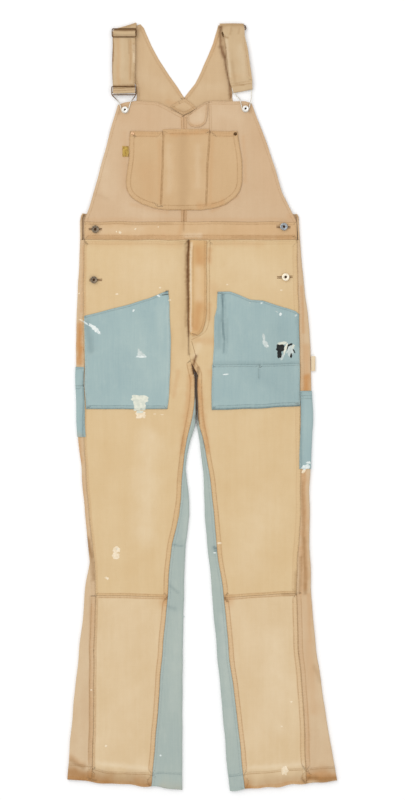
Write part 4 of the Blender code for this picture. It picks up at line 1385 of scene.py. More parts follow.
@dataclass
class Bib:
    """The front bib: two halves on a centre seam, its pocket, the patch at its dip and the blank tag."""

    hem: Sewing = (5.6, (1.8, 5.6), 0.3, 0.05, 0.1)
    edge: Sewing = (5.4, (5.4,), 0.25, 0.0, 0.05)
    centre: Sewing = (4.6, (4.4,), 0.25, 0.12, 0.35)
    foot: Sewing = (9.0, (1.4, 9.0), 0.35, 0.08, 0.36)          # the pocket's
    mouth: Sewing = (9.6, (3.6, 9.6), 0.3, 0.14, 0.26)
    division: Sewing = (2.6, (1.4,), 0.3, 0.03, 0.62)

    def halves(self) -> list[Sheet]:
        """Both halves of the bib."""
        sewings = (self.hem, self.edge, self.centre)
        shapes = {
            "left": ((0.200, 0.241, 0.0391),
                     (((-37, 581), (-168, 603)), ((-170, 600), (-235, 368)), ((-36, 369), (-36, 580)))),
            "right": ((0.225, 0.241, 0.0423),
                      (((100, 606), (-34, 581)), ((190, 369), (100, 605)), ((-35, 580), (-35, 369)))),
        }
        made = []
        for side, (cut, edges) in shapes.items():
            outline = Outline(f"bib_{side}")
            seams = [outline.soft(*ends, *sewing) for ends, sewing in zip(edges, sewings)]
            made.append(Sheet(f"bib_{side}", "bib", cut, seams, BIB_WEAR, (f"back_bib_{side}",)))
        made[1].seams.append(Seam([(14, 609), (14, 552)], 4.0, (0.2,), 0.2, 0.05, 0.3))
        return made

    def pocket(self) -> Sheet:
        """The wide pocket with its round foot and its pencil divisions."""
        outline = Outline("bib_pocket")
        divisions = ([(-78.5, 549), (-80, 480), (-83.5, 404)], [(9.5, 403), (12.5, 480), (15.5, 549)])
        seams = [
            outline.soft((-144, 550), (72, 551), *self.foot),
            outline.sharp((72, 551), (-144, 550), *self.mouth),
            *(Seam(softened(path), *self.division) for path in divisions),
        ]
        wear = {
            WearAndShade.RUST: [
                (-140, 546, 70, 546, 6, 0.2), (-110, 470, -104, 430, 20, 0.16), (-84, 530, -84, 410, 5, 0.25),
                (20, 550, 16, 410, 5, 0.25), (-6, 400, 40, 408, 6, 0.4), (-60, 543, 8, 549, 5, 0.4),
            ],
            WearAndShade.GRIME: [(-38, 540, -38, 405, 12, 0.2), (-40, 396, -20, 394, 4, 0.2)],
            WearAndShade.PALE: [(-66, 520, -66, 430, 7, 0.15), (-8, 520, -8, 440, 7, 0.15)],
        }
        places = ((-149, 549, -144, 549), (72, 550, 78, 550), (-79, 552, -79, 543), (15, 552, 15, 543))
        return Sheet("bib_pocket", "pocket", (0.231, 0.162, 0.0345), seams, wear,
                     ("bib_left", "bib_right"), tacks=[Tack(*place) for place in places])

    def sheets(self) -> list[Sheet]:
        """Every piece of the bib."""
        foot = Outline("bib_watch_patch").soft((-28.5, 580), (11, 606), 3.0, (2.2,), 0.2, 0.1, 0.22)
        wear = {WearAndShade.PALE: [(-8, 574, -6, 582, 12, 0.2)], WearAndShade.RUST: [(-20, 563, 4, 563, 5, 0.3)]}
        tag_edge = [(-148, 499.8), (-148, 520), (-159, 520), (-159, 499.8), (-148, 499.8)]
        return [
            *self.halves(),
            self.pocket(),
            Sheet("bib_watch_patch", "bib", (0.041, 0.047, 0.0013), [foot], wear,
                  ("bib_right",), cell=2.0),
            Sheet("blank_tag", "tape", (0.0125, 0.021, 0.000262), [Seam(tag_edge, 2.0, (0.8,), 0.12)],
                  {WearAndShade.GRIME: [(-153, 503, -153, 506, 4, 0.5)]}, ("bib_left",), cell=1.5),
        ]


BIB_WEAR = {
    WearAndShade.RUST: [
        (-233, 374, 186, 374, 4, 0.2), (-36, 396, -36, 372, 7, 0.3), (-154, 550, -154, 440, 4, 0.15),
        (-140, 404, -70, 388, 4, 0.2), (20, 392, 70, 420, 4, 0.25), (84, 540, 86, 450, 4, 0.25),
        (-36, 560, -36, 580, 7, 0.3), (180, 380, 186, 372, 9, 0.3), (104, 596, 180, 400, 5, 0.2),
        (112, 540, 150, 420, 30, 0.1), (-150, 590, -110, 576, 30, 0.1),
    ],
    WearAndShade.PALE: [
        (-200, 500, -190, 430, 18, 0.16), (40, 590, 70, 575, 20, 0.12), (-150, 400, -100, 380, 16, 0.1),
    ],
    WearAndShade.GRIME: [
        (-36, 404, -35, 372, 4, 0.3), (-60, 592, -20, 585, 3, 0.4), (-240, 432, -190, 416, 4, 0.12),
        (-166, 586, -162, 603, 3, 0.3), (96, 588, 99, 604, 3, 0.3),
    ],
}


@dataclass
class BackBib:
    """The back's two halves with their shoulder arms, and the patch where the arms meet."""

    neck: Sewing = (6.5, (5.4,), 0.25, 0.1, 0.16)
    edge: Sewing = (6.0, (5.0,), 0.25, 0.1, 0.16)
    centre: Sewing = (4.4, (4.0,), 0.0, 0.1, 0.3)
    around: Sewing = (4.0, (1.8, 5.4), 0.2, 0.12, 0.22)         # the patch's

    def sheets(self) -> list[Sheet]:
        """Both halves and the patch."""
        sewings = (self.neck, self.edge, self.centre)
        shapes = {
            "left": ((0.194, 0.373, 0.042),
                     (((-36, 618), (-117, 758)), ((-168, 747), (-230, 385)), ((-36, 386), (-36, 616))), []),
            "right": ((0.214, 0.378, 0.0443),
                      (((32, 763), (-35, 618)), ((179, 385), (84, 755)), ((-35, 616), (-35, 386))),
                      # Painted shade in the gap along the right strap's left edge.
                      [(35, 760, 37, 721, 3, 0.7), (37, 721, 45, 698, 3.8, 0.85),
                       (45, 698, 55, 644, 2.2, 0.75), (55, 644, 57, 618, 3, 0.85)]),
        }
        wear = {
            WearAndShade.RUST: [
                (-60, 660, -44, 630, 6, 0.2), (-36, 620, -20, 640, 6, 0.2), (-70, 610, -52, 604, 7, 0.3),
                (10, 700, 30, 740, 9, 0.2),
            ],
            WearAndShade.GRIME: [(-133, 640, -131, 612, 3, 0.25), (-128, 752, -120, 758, 4, 0.25)],
            WearAndShade.PALE: [(-110, 660, -80, 640, 18, 0.12), (0, 640, 40, 640, 14, 0.12)],
        }
        made = []
        for side, (cut, edges, deep) in shapes.items():
            outline = Outline(f"back_bib_{side}")
            seams = [outline.soft(*ends, *sewing) for ends, sewing in zip(edges, sewings)]
            made.append(Sheet(f"back_bib_{side}", "back", cut, seams, wear | {WearAndShade.DEEP: deep},
                              follow=0.0))
        corners = Outline("back_cross_patch").points
        edge = Seam(resample(np.concatenate((corners, corners[:1]))), *self.around)
        patch_wear = {WearAndShade.RUST: [(-50, 600, -24, 600, 12, 0.1)], WearAndShade.GRIME: [(-56, 593, -20, 591, 4, 0.25)]}
        made.append(Sheet("back_cross_patch", "cross", (0.054, 0.034, 0.00105), [edge], patch_wear,
                          ("back_bib_left", "back_bib_right"), cell=2.0, follow=0.0))
        return made


# pockets and straps


@dataclass
class Pockets:
    """The denim hip pockets, the side tool pockets and the hammer loop."""

    mouth: Sewing = (3.6, (3.4,), 0.3, 0.05, 0.26)
    plain: Sewing = (2.2, (2.0,), 0.2, 0.0, 0.0)
    foot: Sewing = (6.4, (1.8, 6.4), 0.3, 0.1, 0.4)
    upper: Sewing = (4.0, (1.5,), 0.2, 0.1, 0.3)        # these three are the tool pockets'
    lower: Sewing = (6.0, (0.5, 6.0), 0.2, 0.1, 0.4)
    along: Sewing = (4.0, (1.8,), 0.2, 0.1, 0.25)

    def hip(self, node: str, cut: Cut, corners: Stitches, under: str,
            extra: list[Seam] | None = None, tacks: list[Tack] | None = None) -> Sheet:
        """A hip pocket.

        Args:
            node: Its CAD node.
            cut: Its flat cut's width, length and area.
            corners: Both ends of its mouth and both of its foot, in the outline's direction.
            under: The sheet that it lies on.
            extra: Seams across it.
            tacks: Its bar tacks.

        Returns:
            The sheet.
        """
        outline = Outline(node)
        ends = zip(corners, corners[1:] + corners[:1], (self.mouth, self.plain, self.foot, self.plain))
        seams = [outline.sharp(start, end, *sewing) for start, end, sewing in ends] + (extra or [])
        return Sheet(node, "denim_pocket", cut, seams, POCKET_WEAR_AND_SHADE, (under,), tacks=tacks or [])

    def tool(self, side: str, cut: Cut, rows: list[Stitches]) -> Sheet:
        """A tool pocket round one side of the leg.

        Args:
            side: Which leg.
            cut: Its flat cut's width, length and area.
            rows: Its two rows across and its row along.

        Returns:
            The sheet.
        """
        sewings = (self.upper, self.lower, self.along)
        wear = {
            WearAndShade.GRIME: [(-237, 70, -238, -60, 2, 0.4), (199, 28, 199, -122, 2, 0.3)],
            WearAndShade.RUST: [(-244, -58, -240, -62, 8, 0.3)],
        }
        seams = [Seam(row, *sewing) for row, sewing in zip(rows, sewings)]
        return Sheet(f"side_pocket_{side}", "denim_pocket", cut, seams, wear,
                     (f"back_leg_{side}",), **AROUND)

    def sheets(self) -> list[Sheet]:
        """Every pocket and the loop."""
        fold = softened([(25, 228), (41, 222), (42, 190), (41, 160), (44.5, 134), (43, 109)])
        seat = Seam(fold, 6.0, (), 0.5, 0.0, 0.15)
        split = Seam([(112.4, 79), (112.4, 58)], 3.0, (0.3,), 0.1, 0.0, 0.25)
        tips = [Tack(-84, 230.4, -68, 231.2, 4.0, True), Tack(-80, 223.6, -68, 224.4, 3.6, True)]
        return [
            self.hip("hip_pocket_left", (0.172, 0.237, 0.0359),
                     [(-66, 232), (-234, 182), (-233, -4), (-68, -4)], "front_thigh_left", tacks=tips),
            self.hip("hip_pocket_right", (0.177, 0.236, 0.0374), [(194, 184), (31, 229), (20, -6), (195, 2)],
                     "front_thigh_right", [seat], [Tack(24, 226, 32, 227)]),
            self.hip("hip_pocket_right_lower", (0.175, 0.091, 0.0155),
                     [(195, 85), (20, 83), (20, -6), (195, 2)], "hip_pocket_right", [split]),
            self.tool("left", (0.096, 0.140, 0.0132),
                      [[(-237, 78), (-252, 78)], [(-237, 42), (-252, 42)], [(-237, 78), (-238, -60)]]),
            self.tool("right", (0.108, 0.156, 0.0168),
                      [[(218, 30), (197, 30)], [(218, 22), (197, 22)], [(198, -124), (197, 30)]]),
            Sheet("hammer_loop", "leg", (0.017, 0.03, 0.0005), cell=2.0, follow=0.0,
                  rests=("back_leg_right",), wear={WearAndShade.PALE: [(222, 72, 222, 101, 9, 0.5)]}),
        ]


@dataclass
class Straps:
    """The two shoulder straps, folded over their fittings."""

    def strap(self, side: str, length: float, area: float, seams: list[Seam], folds: list[tuple]) -> Sheet:
        """One strap."""
        return Sheet(f"strap_{side}", "strap", (0.046, length, area), seams, STRAP_WEAR_AND_SHADE[side],
                     (f"back_bib_{side}",), cell=2.0, follow=0.0, lift=(4.8, 5.8),
                     folds=[Crease(*fold) for fold in folds])

    def sheets(self) -> list[Sheet]:
        """Both straps."""
        return [
            self.strap("left", 0.32, 0.0145, [
                Seam([(-135.4, 738), (-135.4, 644)], 2.0, (0.6,), 0.1, 0.0, 0.08),
                Seam([(-132.5, 636.6), (-179.5, 635.4)], 5.0, (), 0.2, 0.05, 0.6),
            ], [
                (-146, 740, -144, 640, 3, -0.9, 1), (-138, 742, -138, 650, 3, 0.6, -1),
                (-158, 742, -160, 640, 8, 0.5, 1), (-169, 742, -170, 645, 3, -0.4, 1),
            ]),
            self.strap("right", 0.30, 0.0137, [
                Seam([(57, 639.5), (98, 645)], 6.0, (0.4, 4.2), 0.2, 0.0, 0.25),
                Seam([(94.5, 660), (84, 740)], 4.0, (0.6,), 0.1, 0.0, 0.08),
            ], [
                (50, 764, 52, 736, 2.6, -0.9, 1), (58, 764, 57, 738, 2.6, 0.8, -1),
                (65, 764, 64, 742, 2.4, -0.8, 1), (74, 764, 72, 740, 2.6, -0.7, 0),
                (80, 764, 80, 742, 2.4, 0.6, 0), (40, 742, 56, 736, 2.4, -0.8, 1),
                (56, 740, 62, 650, 4, -0.5, 2), (66, 730, 72, 650, 6, 0.45, 1),
            ]),
        ]


STRAP_WEAR_AND_SHADE = {
    "left": {
        WearAndShade.PALE: [(-160, 735, -158, 660, 7, 0.12), (-136, 722, -135, 690, 2.5, 0.5)],
        WearAndShade.RUST: [(-168, 736, -167, 645, 3.5, 0.3), (-144, 730, -143, 650, 3, 0.25)],
        # Mostly painted shade: over the shoulder's fold, under the slide's bar, along the left edge and at
        # the strap's end; dark lines beside the stitching.
        WearAndShade.GRIME: [
            (-172, 760, -134, 766, 6, 0.5), (-178, 753.5, -132, 753.5, 2.4, 0.8),
            (-142.6, 735, -141.6, 655, 1.6, 0.4), (-146.5, 735, -146, 706, 1.4, 0.35),
            (-136.6, 726, -136.6, 708, 1.4, 0.45), (-178.6, 746, -179, 690, 1.8, 0.8),
            (-179, 640, -134, 641, 2.2, 0.7), (-137, 668, -134, 640, 3, 0.25),
        ],
        # Painted shade along the left edge and under the slide's bar.
        WearAndShade.DEEP: [(-179.6, 742, -179.8, 644, 1.5, 0.75), (-178, 752, -134, 752, 1.4, 0.5)],
    },
    "right": {
        WearAndShade.PALE: [(48, 738, 56, 660, 3, 0.3), (76, 720, 84, 664, 9, 0.2)],
        WearAndShade.RUST: [(60, 660, 96, 664, 7, 0.12), (88, 720, 94, 664, 4, 0.15)],
        # Grime, and painted shade in the gathers at the shoulder and at the left edge.
        WearAndShade.GRIME: [
            (40, 762, 84, 763, 5, 0.45), (39, 741, 50, 738, 2.2, 0.7), (58, 757, 56, 744, 2.2, 0.35),
            (74, 757, 73, 746, 2, 0.3), (66, 644, 84, 642, 1.6, 0.4), (60, 690, 66, 650, 3, 0.2),
        ],
        # Painted shade in the gap along the strap's left edge.
        WearAndShade.DEEP: [(38, 760, 38, 740, 2.4, 0.8), (42, 738, 46, 716, 2, 0.8), (47, 712, 55, 640, 1.4, 0.6)],
    },
}
POCKET_WEAR_AND_SHADE = {
    WearAndShade.RUST: [
        (-66, -4, -80, -6, 5, 0.3), (192, 2, 180, 0, 5, 0.3),
    ],
    WearAndShade.PALE: [
        (-130, 120, -100, 60, 34, 0.2), (-84, 190, -80, 60, 12, 0.25), (60, 150, 60, 90, 16, 0.1),
        (-68, 200, -68, 20, 2.5, 0.5), (22, 210, 20.5, 90, 2.5, 0.5), (-233, 178, -234, 20, 2.5, 0.35),
    ],
    # Grime, and painted shade along the right pocket's fold.
    WearAndShade.GRIME: [
        (-229, 166, -222, 112, 7, 0.3), (-232, -4, -70, -4, 2.5, 0.35), (22, -5, 194, 2, 2.5, 0.35),
        (41, 222, 42, 200, 2.4, 0.8), (42, 200, 40, 170, 3, 0.55), (41, 170, 44.5, 134, 2.4, 0.7),
        (44.5, 134, 43, 109, 2.2, 0.5), (50, 176, 51, 128, 1.8, 0.22), (35, 180, 34, 120, 6, 0.25),
        (193, 180, 194, 120, 5, 0.25), (120, 60, 180, 20, 30, 0.1), (150, 150, 170, 60, 24, 0.1),
        (-76, 230, -68, 226, 2.5, 0.6), (24, 88, 190, 88, 2.5, 0.2),
    ],
}


# what lies on the cloth


class Ground:
    """The upper and lower surfaces of the finished cloth, to lay things on."""

    height = 60     # how far above or below the cloth a pin starts

    def __init__(self, sheets: list[Sheet], relief: Relief) -> None:
        """Gathers the sheets' faces.

        Args:
            sheets: The finished sheets.
            relief: The lie of the cloth, which says how far it has wandered.
        """
        points: list[Vector] = []
        faces: list[list[int]] = []
        self.owner: list[str] = []
        self.relief = relief
        for sheet in sheets:
            mesh, base = sheet.item.data, len(points)
            points += [vert.co / MM for vert in mesh.vertices]
            faces += [[base + k for k in face.vertices] for face in mesh.polygons]
            self.owner += [sheet.node] * len(mesh.polygons)
        self.tree = BVHTree.FromPolygons(points, faces)

    def touch(self, x: float, y: float, layer: Layer = Layer.TOP) -> tuple[Vector, Vector, str] | None:
        """What a pin dropped there meets.

        Args:
            x, y: Place, before the cloth wandered.
            layer: From above, or from below the underside.

        Returns:
            The point, the surface's normal and the sheet's name, or None off the cloth.
        """
        dx, dy = (float(part[0]) for part in self.relief.drift(np.array([x]), np.array([y])))
        way = 1 if layer is Layer.TOP else -1
        start = Vector((x + dx, y + dy, self.height * way))
        hit, normal, index, _ = self.tree.ray_cast(start, Vector((0, 0, -way)))
        return None if hit is None else (hit, normal, self.owner[index])


@dataclass
class Beads:
    """Many copies of one small shape, placed on the cloth and joined in one mesh."""

    name: str
    points: Array
    faces: list[tuple[int, ...]]
    frames: list[Array] = field(default_factory=list)

    def put(self, centre: Vector, along: Vector, up: Vector, stretch: float) -> None:
        """Places a copy with its length, stretched, along a direction on a surface.

        Args:
            centre: Its middle.
            along: The direction.
            up: The surface's normal.
            stretch: How many times its length it gets.
        """
        side = up.cross(along).normalized()
        along = side.cross(up).normalized() * stretch
        self.frames.append(np.array([tuple(along), tuple(side), tuple(up), tuple(centre)]))

    def build(self, finish: Material) -> Item:
        """Joins the copies.

        Args:
            finish: Their material.

        Returns:
            The object.
        """
        frames, size = np.array(self.frames), len(self.points)
        spots = np.einsum("pk,nkc->npc", self.points, frames[:, :3]) + frames[:, None, 3]
        faces = [tuple(size * k + i for i in face) for k in range(len(frames)) for face in self.faces]
        mesh = bpy.data.meshes.new(self.name)
        mesh.from_pydata((spots.reshape(-1, 3) * MM).tolist(), [], faces)
        mesh.shade_smooth()
        LOG.info("%s: %d", mesh.name, len(frames))
        return placed(mesh, finish)


@dataclass
class Needle:
    """Sews the rows, bar tacks and buttonholes that the sheets ask for."""

    ground: Ground
    shop: Workshop
    pitch: float = 3.3
    length: float = 2.6
    width: float = 0.7
    height: float = 0.5
    close: float = 0.62         # spacing of the stitches in a tack or a buttonhole
    lean: float = 0.18          # how far a tack's zigzag leans
    lip: float = 2.0            # length of a buttonhole's stitches
    apart: float = 1.5          # how far they stand off its slit
    sway: float = 0.12          # how far a hand strays from its row
    sunk: float = 0.2           # how deep stitches sit underneath, where they bear on the floor
    proud: float = 0.05         # how far they stand out on top
    clear: float = 0.8          # how near another seam's first row they may come, as a share of its distance
    bead: tuple[Array, list[tuple[int, ...]]] = field(init=False)

    def __post_init__(self) -> None:
        """Models the one stitch that all rows are copied from: a bead, pinched at both ends."""
        bpy.ops.object.select_all(action="DESELECT")
        bpy.ops.mesh.primitive_uv_sphere_add(segments=6, ring_count=4, radius=0.5)
        bead = bpy.context.view_layer.objects.active
        bpy.ops.object.mode_set(mode="EDIT")
        bpy.ops.mesh.select_all(action="SELECT")
        bpy.ops.transform.rotate(value=math.pi / 2, orient_axis="Y", center_override=(0, 0, 0))
        bpy.ops.transform.resize(value=(self.length, self.width, self.height), center_override=(0, 0, 0))
        bpy.ops.object.mode_set(mode="OBJECT")
        points = np.array([tuple(vert.co) for vert in bead.data.vertices])
        self.bead = points, [tuple(face.vertices) for face in bead.data.polygons]
        bpy.data.objects.remove(bead, do_unlink=True)

    def rows(self, sheet: Sheet, beads: Beads) -> None:
        """Runs each seam's rows, which stop where another edge's row begins.

        Args:
            sheet: The sheet that is sewn.
            beads: Takes the stitches.
        """
        draws = random.Random(sheet.node)
        for seam in sheet.seams:
            others = [other for other in sheet.seams if other is not seam and other.layer is seam.layer]
            for row in seam.rows:
                line = resample(beside(seam.path, row), self.pitch)
                middle = (line[:-1] + line[1:]) / 2
                clear = np.ones(len(middle), dtype=bool)
                for other in others:
                    if other.rows:
                        clear &= np.abs(nearest(*middle.T, other.path)[0]) > self.clear * min(other.rows)
                for (x, y), way, free in zip(middle, np.diff(line, axis=0), clear):
                    sway = draws.uniform(-self.sway, self.sway)
                    if free:
                        self.stitch(sheet, beads, x + sway, y + sway, way, self.length, seam.layer)

    def stitch(self, sheet: Sheet, beads: Beads, x: float, y: float, way: Point, length: float,
               layer: Layer = Layer.TOP) -> None:
        """Lays one stitch, if that place is on the sheet.

        Args:
            sheet: The sheet that is sewn.
            beads: Takes the stitch.
            x, y: Its place.
            way: Its direction.
            length: Its length.
            layer: Which side it shows on.
        """
        met = self.ground.touch(x, y, layer)
        out = -self.sunk if layer is Layer.UNDER else self.proud
        if met is not None and met[2] == sheet.node and abs(met[1].z) >= 0.5:
            beads.put(met[0] + met[1] * out, Vector((*way, 0)), met[1], length / self.length)

    def tack(self, sheet: Sheet, tack: Tack, beads: Beads) -> None:
        """Sews one bar tack.

        Args:
            sheet: The sheet that it is on.
            tack: Where it goes.
            beads: Takes its stitches.
        """
        dx, dy = tack.x1 - tack.x0, tack.y1 - tack.y0
        length = math.hypot(dx, dy)
        for k in range(int(length / self.close) + 1):
            share, lean = k * self.close / length, self.lean if k % 2 else -self.lean
            way = (-dy / length + lean * dx, dx / length + lean * dy)
            self.stitch(sheet, beads, tack.x0 + share * dx, tack.y0 + share * dy, way, tack.width)

    def hole(self, sheet: Sheet, hole: Hole, beads: Beads) -> None:
        """Works one buttonhole, with a dark bead in its slit that paints the shadow there.

        Args:
            sheet: The sheet that it is in.
            hole: Where it goes.
            beads: Takes its stitches.
        """
        width = hole.x1 - hole.x0
        for k in range(int(width / self.close) + 1):
            for side in (self.apart, -self.apart):
                self.stitch(sheet, beads, hole.x0 + k * self.close, hole.y + side, (0.0, 1.0), self.lip)
        # A dark bead paints the shadow inside the slit.
        slit = Beads(f"{sheet.node}_slit_{round(abs(hole.x0))}", *self.bead)
        self.stitch(sheet, slit, (hole.x0 + hole.x1) / 2, hole.y, (1.0, 0.0), width)
        if slit.frames:
            sheet.extras.append(slit.build(self.shop.slit))

    def sew(self, sheet: Sheet) -> None:
        """Adds all of a built sheet's stitches to it."""
        plain = Thread.BLUE if sheet.slot == "denim" else Thread.TAN
        spools = {thread: Beads(f"{sheet.node}_{thread.value}_thread", *self.bead) for thread in Thread}
        self.rows(sheet, spools[plain])
        for tack in sheet.tacks:
            self.tack(sheet, tack, spools[Thread.BLACK if tack.black else Thread.BROWN])
        for hole in sheet.holes:
            self.hole(sheet, hole, spools[Thread.BROWN])
        used = [(thread, spool) for thread, spool in spools.items() if spool.frames]
        sheet.extras += [spool.build(self.shop.thread[thread]) for thread, spool in used]


class Coat(Enum):
    """The paints that have splashed on the garment."""

    CREAM = "cream"
    FADED = "faded"
    THIN = "thin"
    WHITE = "white"
    BLACK = "black"


class Dab(NamedTuple):
    """A splash of paint: its middle, its half sizes, its turn in degrees, how ragged and how square it is."""

    x: float
    y: float
    half_long: float
    half_wide: float
    turn: float
    ragged: float
    square: float = 0.0


SPLASHES = {
    Coat.CREAM: [
        (-124, 16.5, 15.5, 6.2, -3, 0.1, 0.8), (-124.5, 4, 11.8, 11, 0, 0.1, 0.9),
        (-124, -11, 7, 3, 0, 0.2, 0.5), (160, 126.5, 9, 2.6, 6, 0.3, 0.3), (167, 116, 10, 2.8, 72, 0.35),
        (181, 119, 6, 2.4, 55, 0.4),
    ],
    Coat.FADED: [
        (-240, 173, 4.5, 1.3, -20, 0.4), (-122.5, -16.5, 9.6, 6.6, 0, 0.2, 0.5), (-94, -15, 2.8, 0.9, 5, 0.3),
        (-79, -16, 3.2, 1, -3, 0.3), (-84, 238, 2, 1.8, 0, 0.3), (-65, 212.6, 3, 1.6, 0, 0.3),
        (-170, 225, 2.6, 1.5, 0, 0.4), (-245, 226, 1.6, 1.4, 0, 0.3), (-163, 348, 3, 2.2, -20, 0.4),
        (-170, 349, 1.6, 1.2, 0, 0.4), (-133, 356, 2.2, 1.5, 60, 0.4), (-88, 359, 1.4, 1.1, 0, 0.4),
        (50, 244, 2.2, 1.3, 0, 0.4), (159, 233, 2.4, 1.2, 0, 0.4), (-171, -285, 7, 6.4, 20, 0.2),
        (-172, -298, 7.6, 7, 80, 0.2), (-190, -343, 4.2, 2.2, -20, 0.4), (35, -272, 5, 1.8, 0, 0.4),
        (202, -130, 4.4, 2.8, 30, 0.35), (165, -728, 9.5, 6.5, 85, 0.25), (178, -590, 2.4, 1.7, 0, 0.3),
        (158.6, -638, 2.2, 1.6, 0, 0.3), (-192, -678, 2.4, 2.2, 0, 0.3), (-221, -566, 1.8, 1.5, 0, 0.3),
    ],
    Coat.THIN: [
        (-126.4, 109, 6.6, 2, 94, 0.12), (-124.6, 105, 6.4, 4.4, 80, 0.12),
        (-119, 103.5, 7.2, 2.8, -40, 0.12), (150, 190, 3.4, 0.8, -30, 0.3), (188, 182, 2.6, 1.8, 40, 0.3),
        (123, 138, 9, 2.6, -82, 0.2), (127, 125, 8, 4.6, -60, 0.2), (161, 100, 8, 2.4, 62, 0.35),
        (177, 112, 12, 6.5, 74, 0.35), (96, 208, 1.8, 1, 0, 0.3),
    ],
    Coat.WHITE: [
        (-232, 167, 6.5, 1.5, -36, 0.4), (-219, 160.5, 8, 2.8, -36, 0.3), (-213, 155, 8.5, 4.4, -44, 0.3),
        (-207, 149, 6, 2.6, -50, 0.35), (-121.8, 99.6, 9.4, 2, 1, 0.15, 0.3), (-87, 222, 3.8, 1.8, -30, 0.3),
        (-136.5, 193, 2.6, 2, 40, 0.4), (119, 207, 2.2, 1.8, 0, 0.3), (157.6, 185, 3.2, 2.6, 60, 0.3),
        (130, 122, 4, 2, -40, 0.3), (47, 65, 5.6, 1.3, 8, 0.4), (-170.5, -284, 5, 3.6, 0, 0.3),
        (26, -292, 3.2, 1, 0, 0.4), (207, -121, 9, 4.6, 15, 0.35), (213, -112, 4.6, 2.4, 0, 0.35),
        (165, -729, 5, 3, 80, 0.3), (-83, -697, 2, 1.7, 0, 0.3), (-36, -420, 1.6, 1.3, 0, 0.3),
    ],
    Coat.BLACK: [
        (156.5, 117.5, 7.4, 6.8, 0, 0.12, 0.6), (154.8, 106, 8.6, 4.2, 88, 0.16, 0.3),
        (175.5, 123.5, 5.6, 2, 24, 0.25), (170.5, 117, 4.6, 1.2, 70, 0.25), (183, 112, 5.6, 1.5, -60, 0.3),
        (178, 102, 5.2, 2.2, 80, 0.3),
    ],
}


@dataclass
class Spatter:
    """Dried paint: each splash is a thin dome with a ragged edge, laid over whatever cloth is under it."""

    ground: Ground
    thickness: float = 0.34
    slope: float = 0.14     # thickness of the narrower ones, as a share of their half width
    black: float = 1.6      # how many times thicker the black paint is
    tucked: float = 0.1     # how far its rim is sunk in the cloth
    proud: float = 0.05     # how far the rest stands clear of it
    sides: int = 36
    rings: int = 6
    paints = {
        Coat.CREAM: Paint("paint_cream", srgb(222, 222, 206), srgb(204, 208, 194)),
        Coat.FADED: Paint("paint_faded", srgb(236, 220, 194), srgb(224, 204, 172)),
        Coat.THIN: Paint("paint_thin", srgb(224, 232, 228), srgb(206, 216, 212), 0.75),
        Coat.WHITE: Paint("paint_white", srgb(230, 234, 230), srgb(206, 216, 214)),
        Coat.BLACK: Paint("paint_black", srgb(34, 38, 36), srgb(18, 20, 20)),
    }

    def outline(self, dab: Dab, draws: random.Random) -> list[float]:
        """How far a splash reaches in each direction, as a share of its half sizes.

        Args:
            dab: The splash.
            draws: What its ragged edge is drawn from.

        Returns:
            A share for each of its sides.
        """
        waves = [(draws.randint(2, 9), draws.uniform(0, math.tau), draws.uniform(0.3, 1.0)) for _ in range(5)]
        total = sum(weight for _, _, weight in waves)
        power = 2.0 + 5.0 * dab.square
        reach = []
        for k in range(self.sides):
            angle = math.tau * k / self.sides
            wobble = sum(weight * math.sin(n * angle + phase) for n, phase, weight in waves) / total
            box = (abs(math.cos(angle)) ** power + abs(math.sin(angle)) ** power) ** (-1.0 / power)
            reach.append(box * (1.1 + 1.3 * dab.ragged * wobble + draws.uniform(-0.3, 0.3) * dab.ragged))
        return reach

    def dome(self, dab: Dab, reach: list[float], film: float) -> list[tuple[Place, float]]:
        """A splash's points, draped, and how far in each is.

        Args:
            dab: The splash.
            reach: How far it reaches to each side.
            film: Its thickness.

        Returns:
            The points, from its middle outwards, in metres, each with 1 in the middle and 0 at the rim.
        """
        turn, made = math.radians(dab.turn), []
        for ring in range(self.rings + 1):
            share = ring / self.rings
            for k in range(self.sides if ring else 1):
                angle, far = math.tau * k / self.sides, share * reach[k]
                u, v = dab.half_long * far * math.cos(angle), dab.half_wide * far * math.sin(angle)
                x = dab.x + u * math.cos(turn) - v * math.sin(turn)
                y = dab.y + u * math.sin(turn) + v * math.cos(turn)
                met = self.ground.touch(x, y)
                place = met[0] if met else Vector((x, y, 1.0))
                z = place.z + film * (1.0 - share**4) + (-self.tucked if ring == self.rings else self.proud)
                made.append(((place.x * MM, place.y * MM, z * MM), 1.0 - share))
        return made

    def build(self, coat: Coat) -> None:
        """Makes every splash of one paint, joined.

        Args:
            coat: The paint.
        """
        points: list[tuple[Place, float]] = []
        faces: list[tuple[int, ...]] = []
        for number, row in enumerate(SPLASHES[coat]):
            dab, first = Dab(*row), len(points) + 1
            times = self.black if coat is Coat.BLACK else 1.0
            film = min(self.thickness, self.slope * dab.half_wide) * times
            points += self.dome(dab, self.outline(dab, random.Random(number)), film)
            faces += [(first - 1, first + k, first + (k + 1) % self.sides) for k in range(self.sides)]
            for inner in range(first, first + (self.rings - 1) * self.sides, self.sides):
                outer = inner + self.sides
                for k in range(self.sides):
                    after = (k + 1) % self.sides
                    faces.append((inner + k, outer + k, outer + after, inner + after))
        mesh = bpy.data.meshes.new(f"paint_{coat.value}")
        mesh.from_pydata([place for place, _ in points], [], faces)
        mark_vertices(mesh, "inside", [inside for _, inside in points])
        mesh.shade_smooth()
        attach(placed(mesh, self.paints[coat].build()), "root")
        LOG.info("%s: %d faces", mesh.name, len(faces))


# fittings


def middle_of(node: str) -> tuple[Vector, Vector, float, float, float]:
    """A CAD node's lowest and highest corner, its middle across and along, and its half width."""
    low, high = (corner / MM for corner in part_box(node))
    return low, high, (low.x + high.x) / 2, (low.y + high.y) / 2, (high.x - low.x) / 2


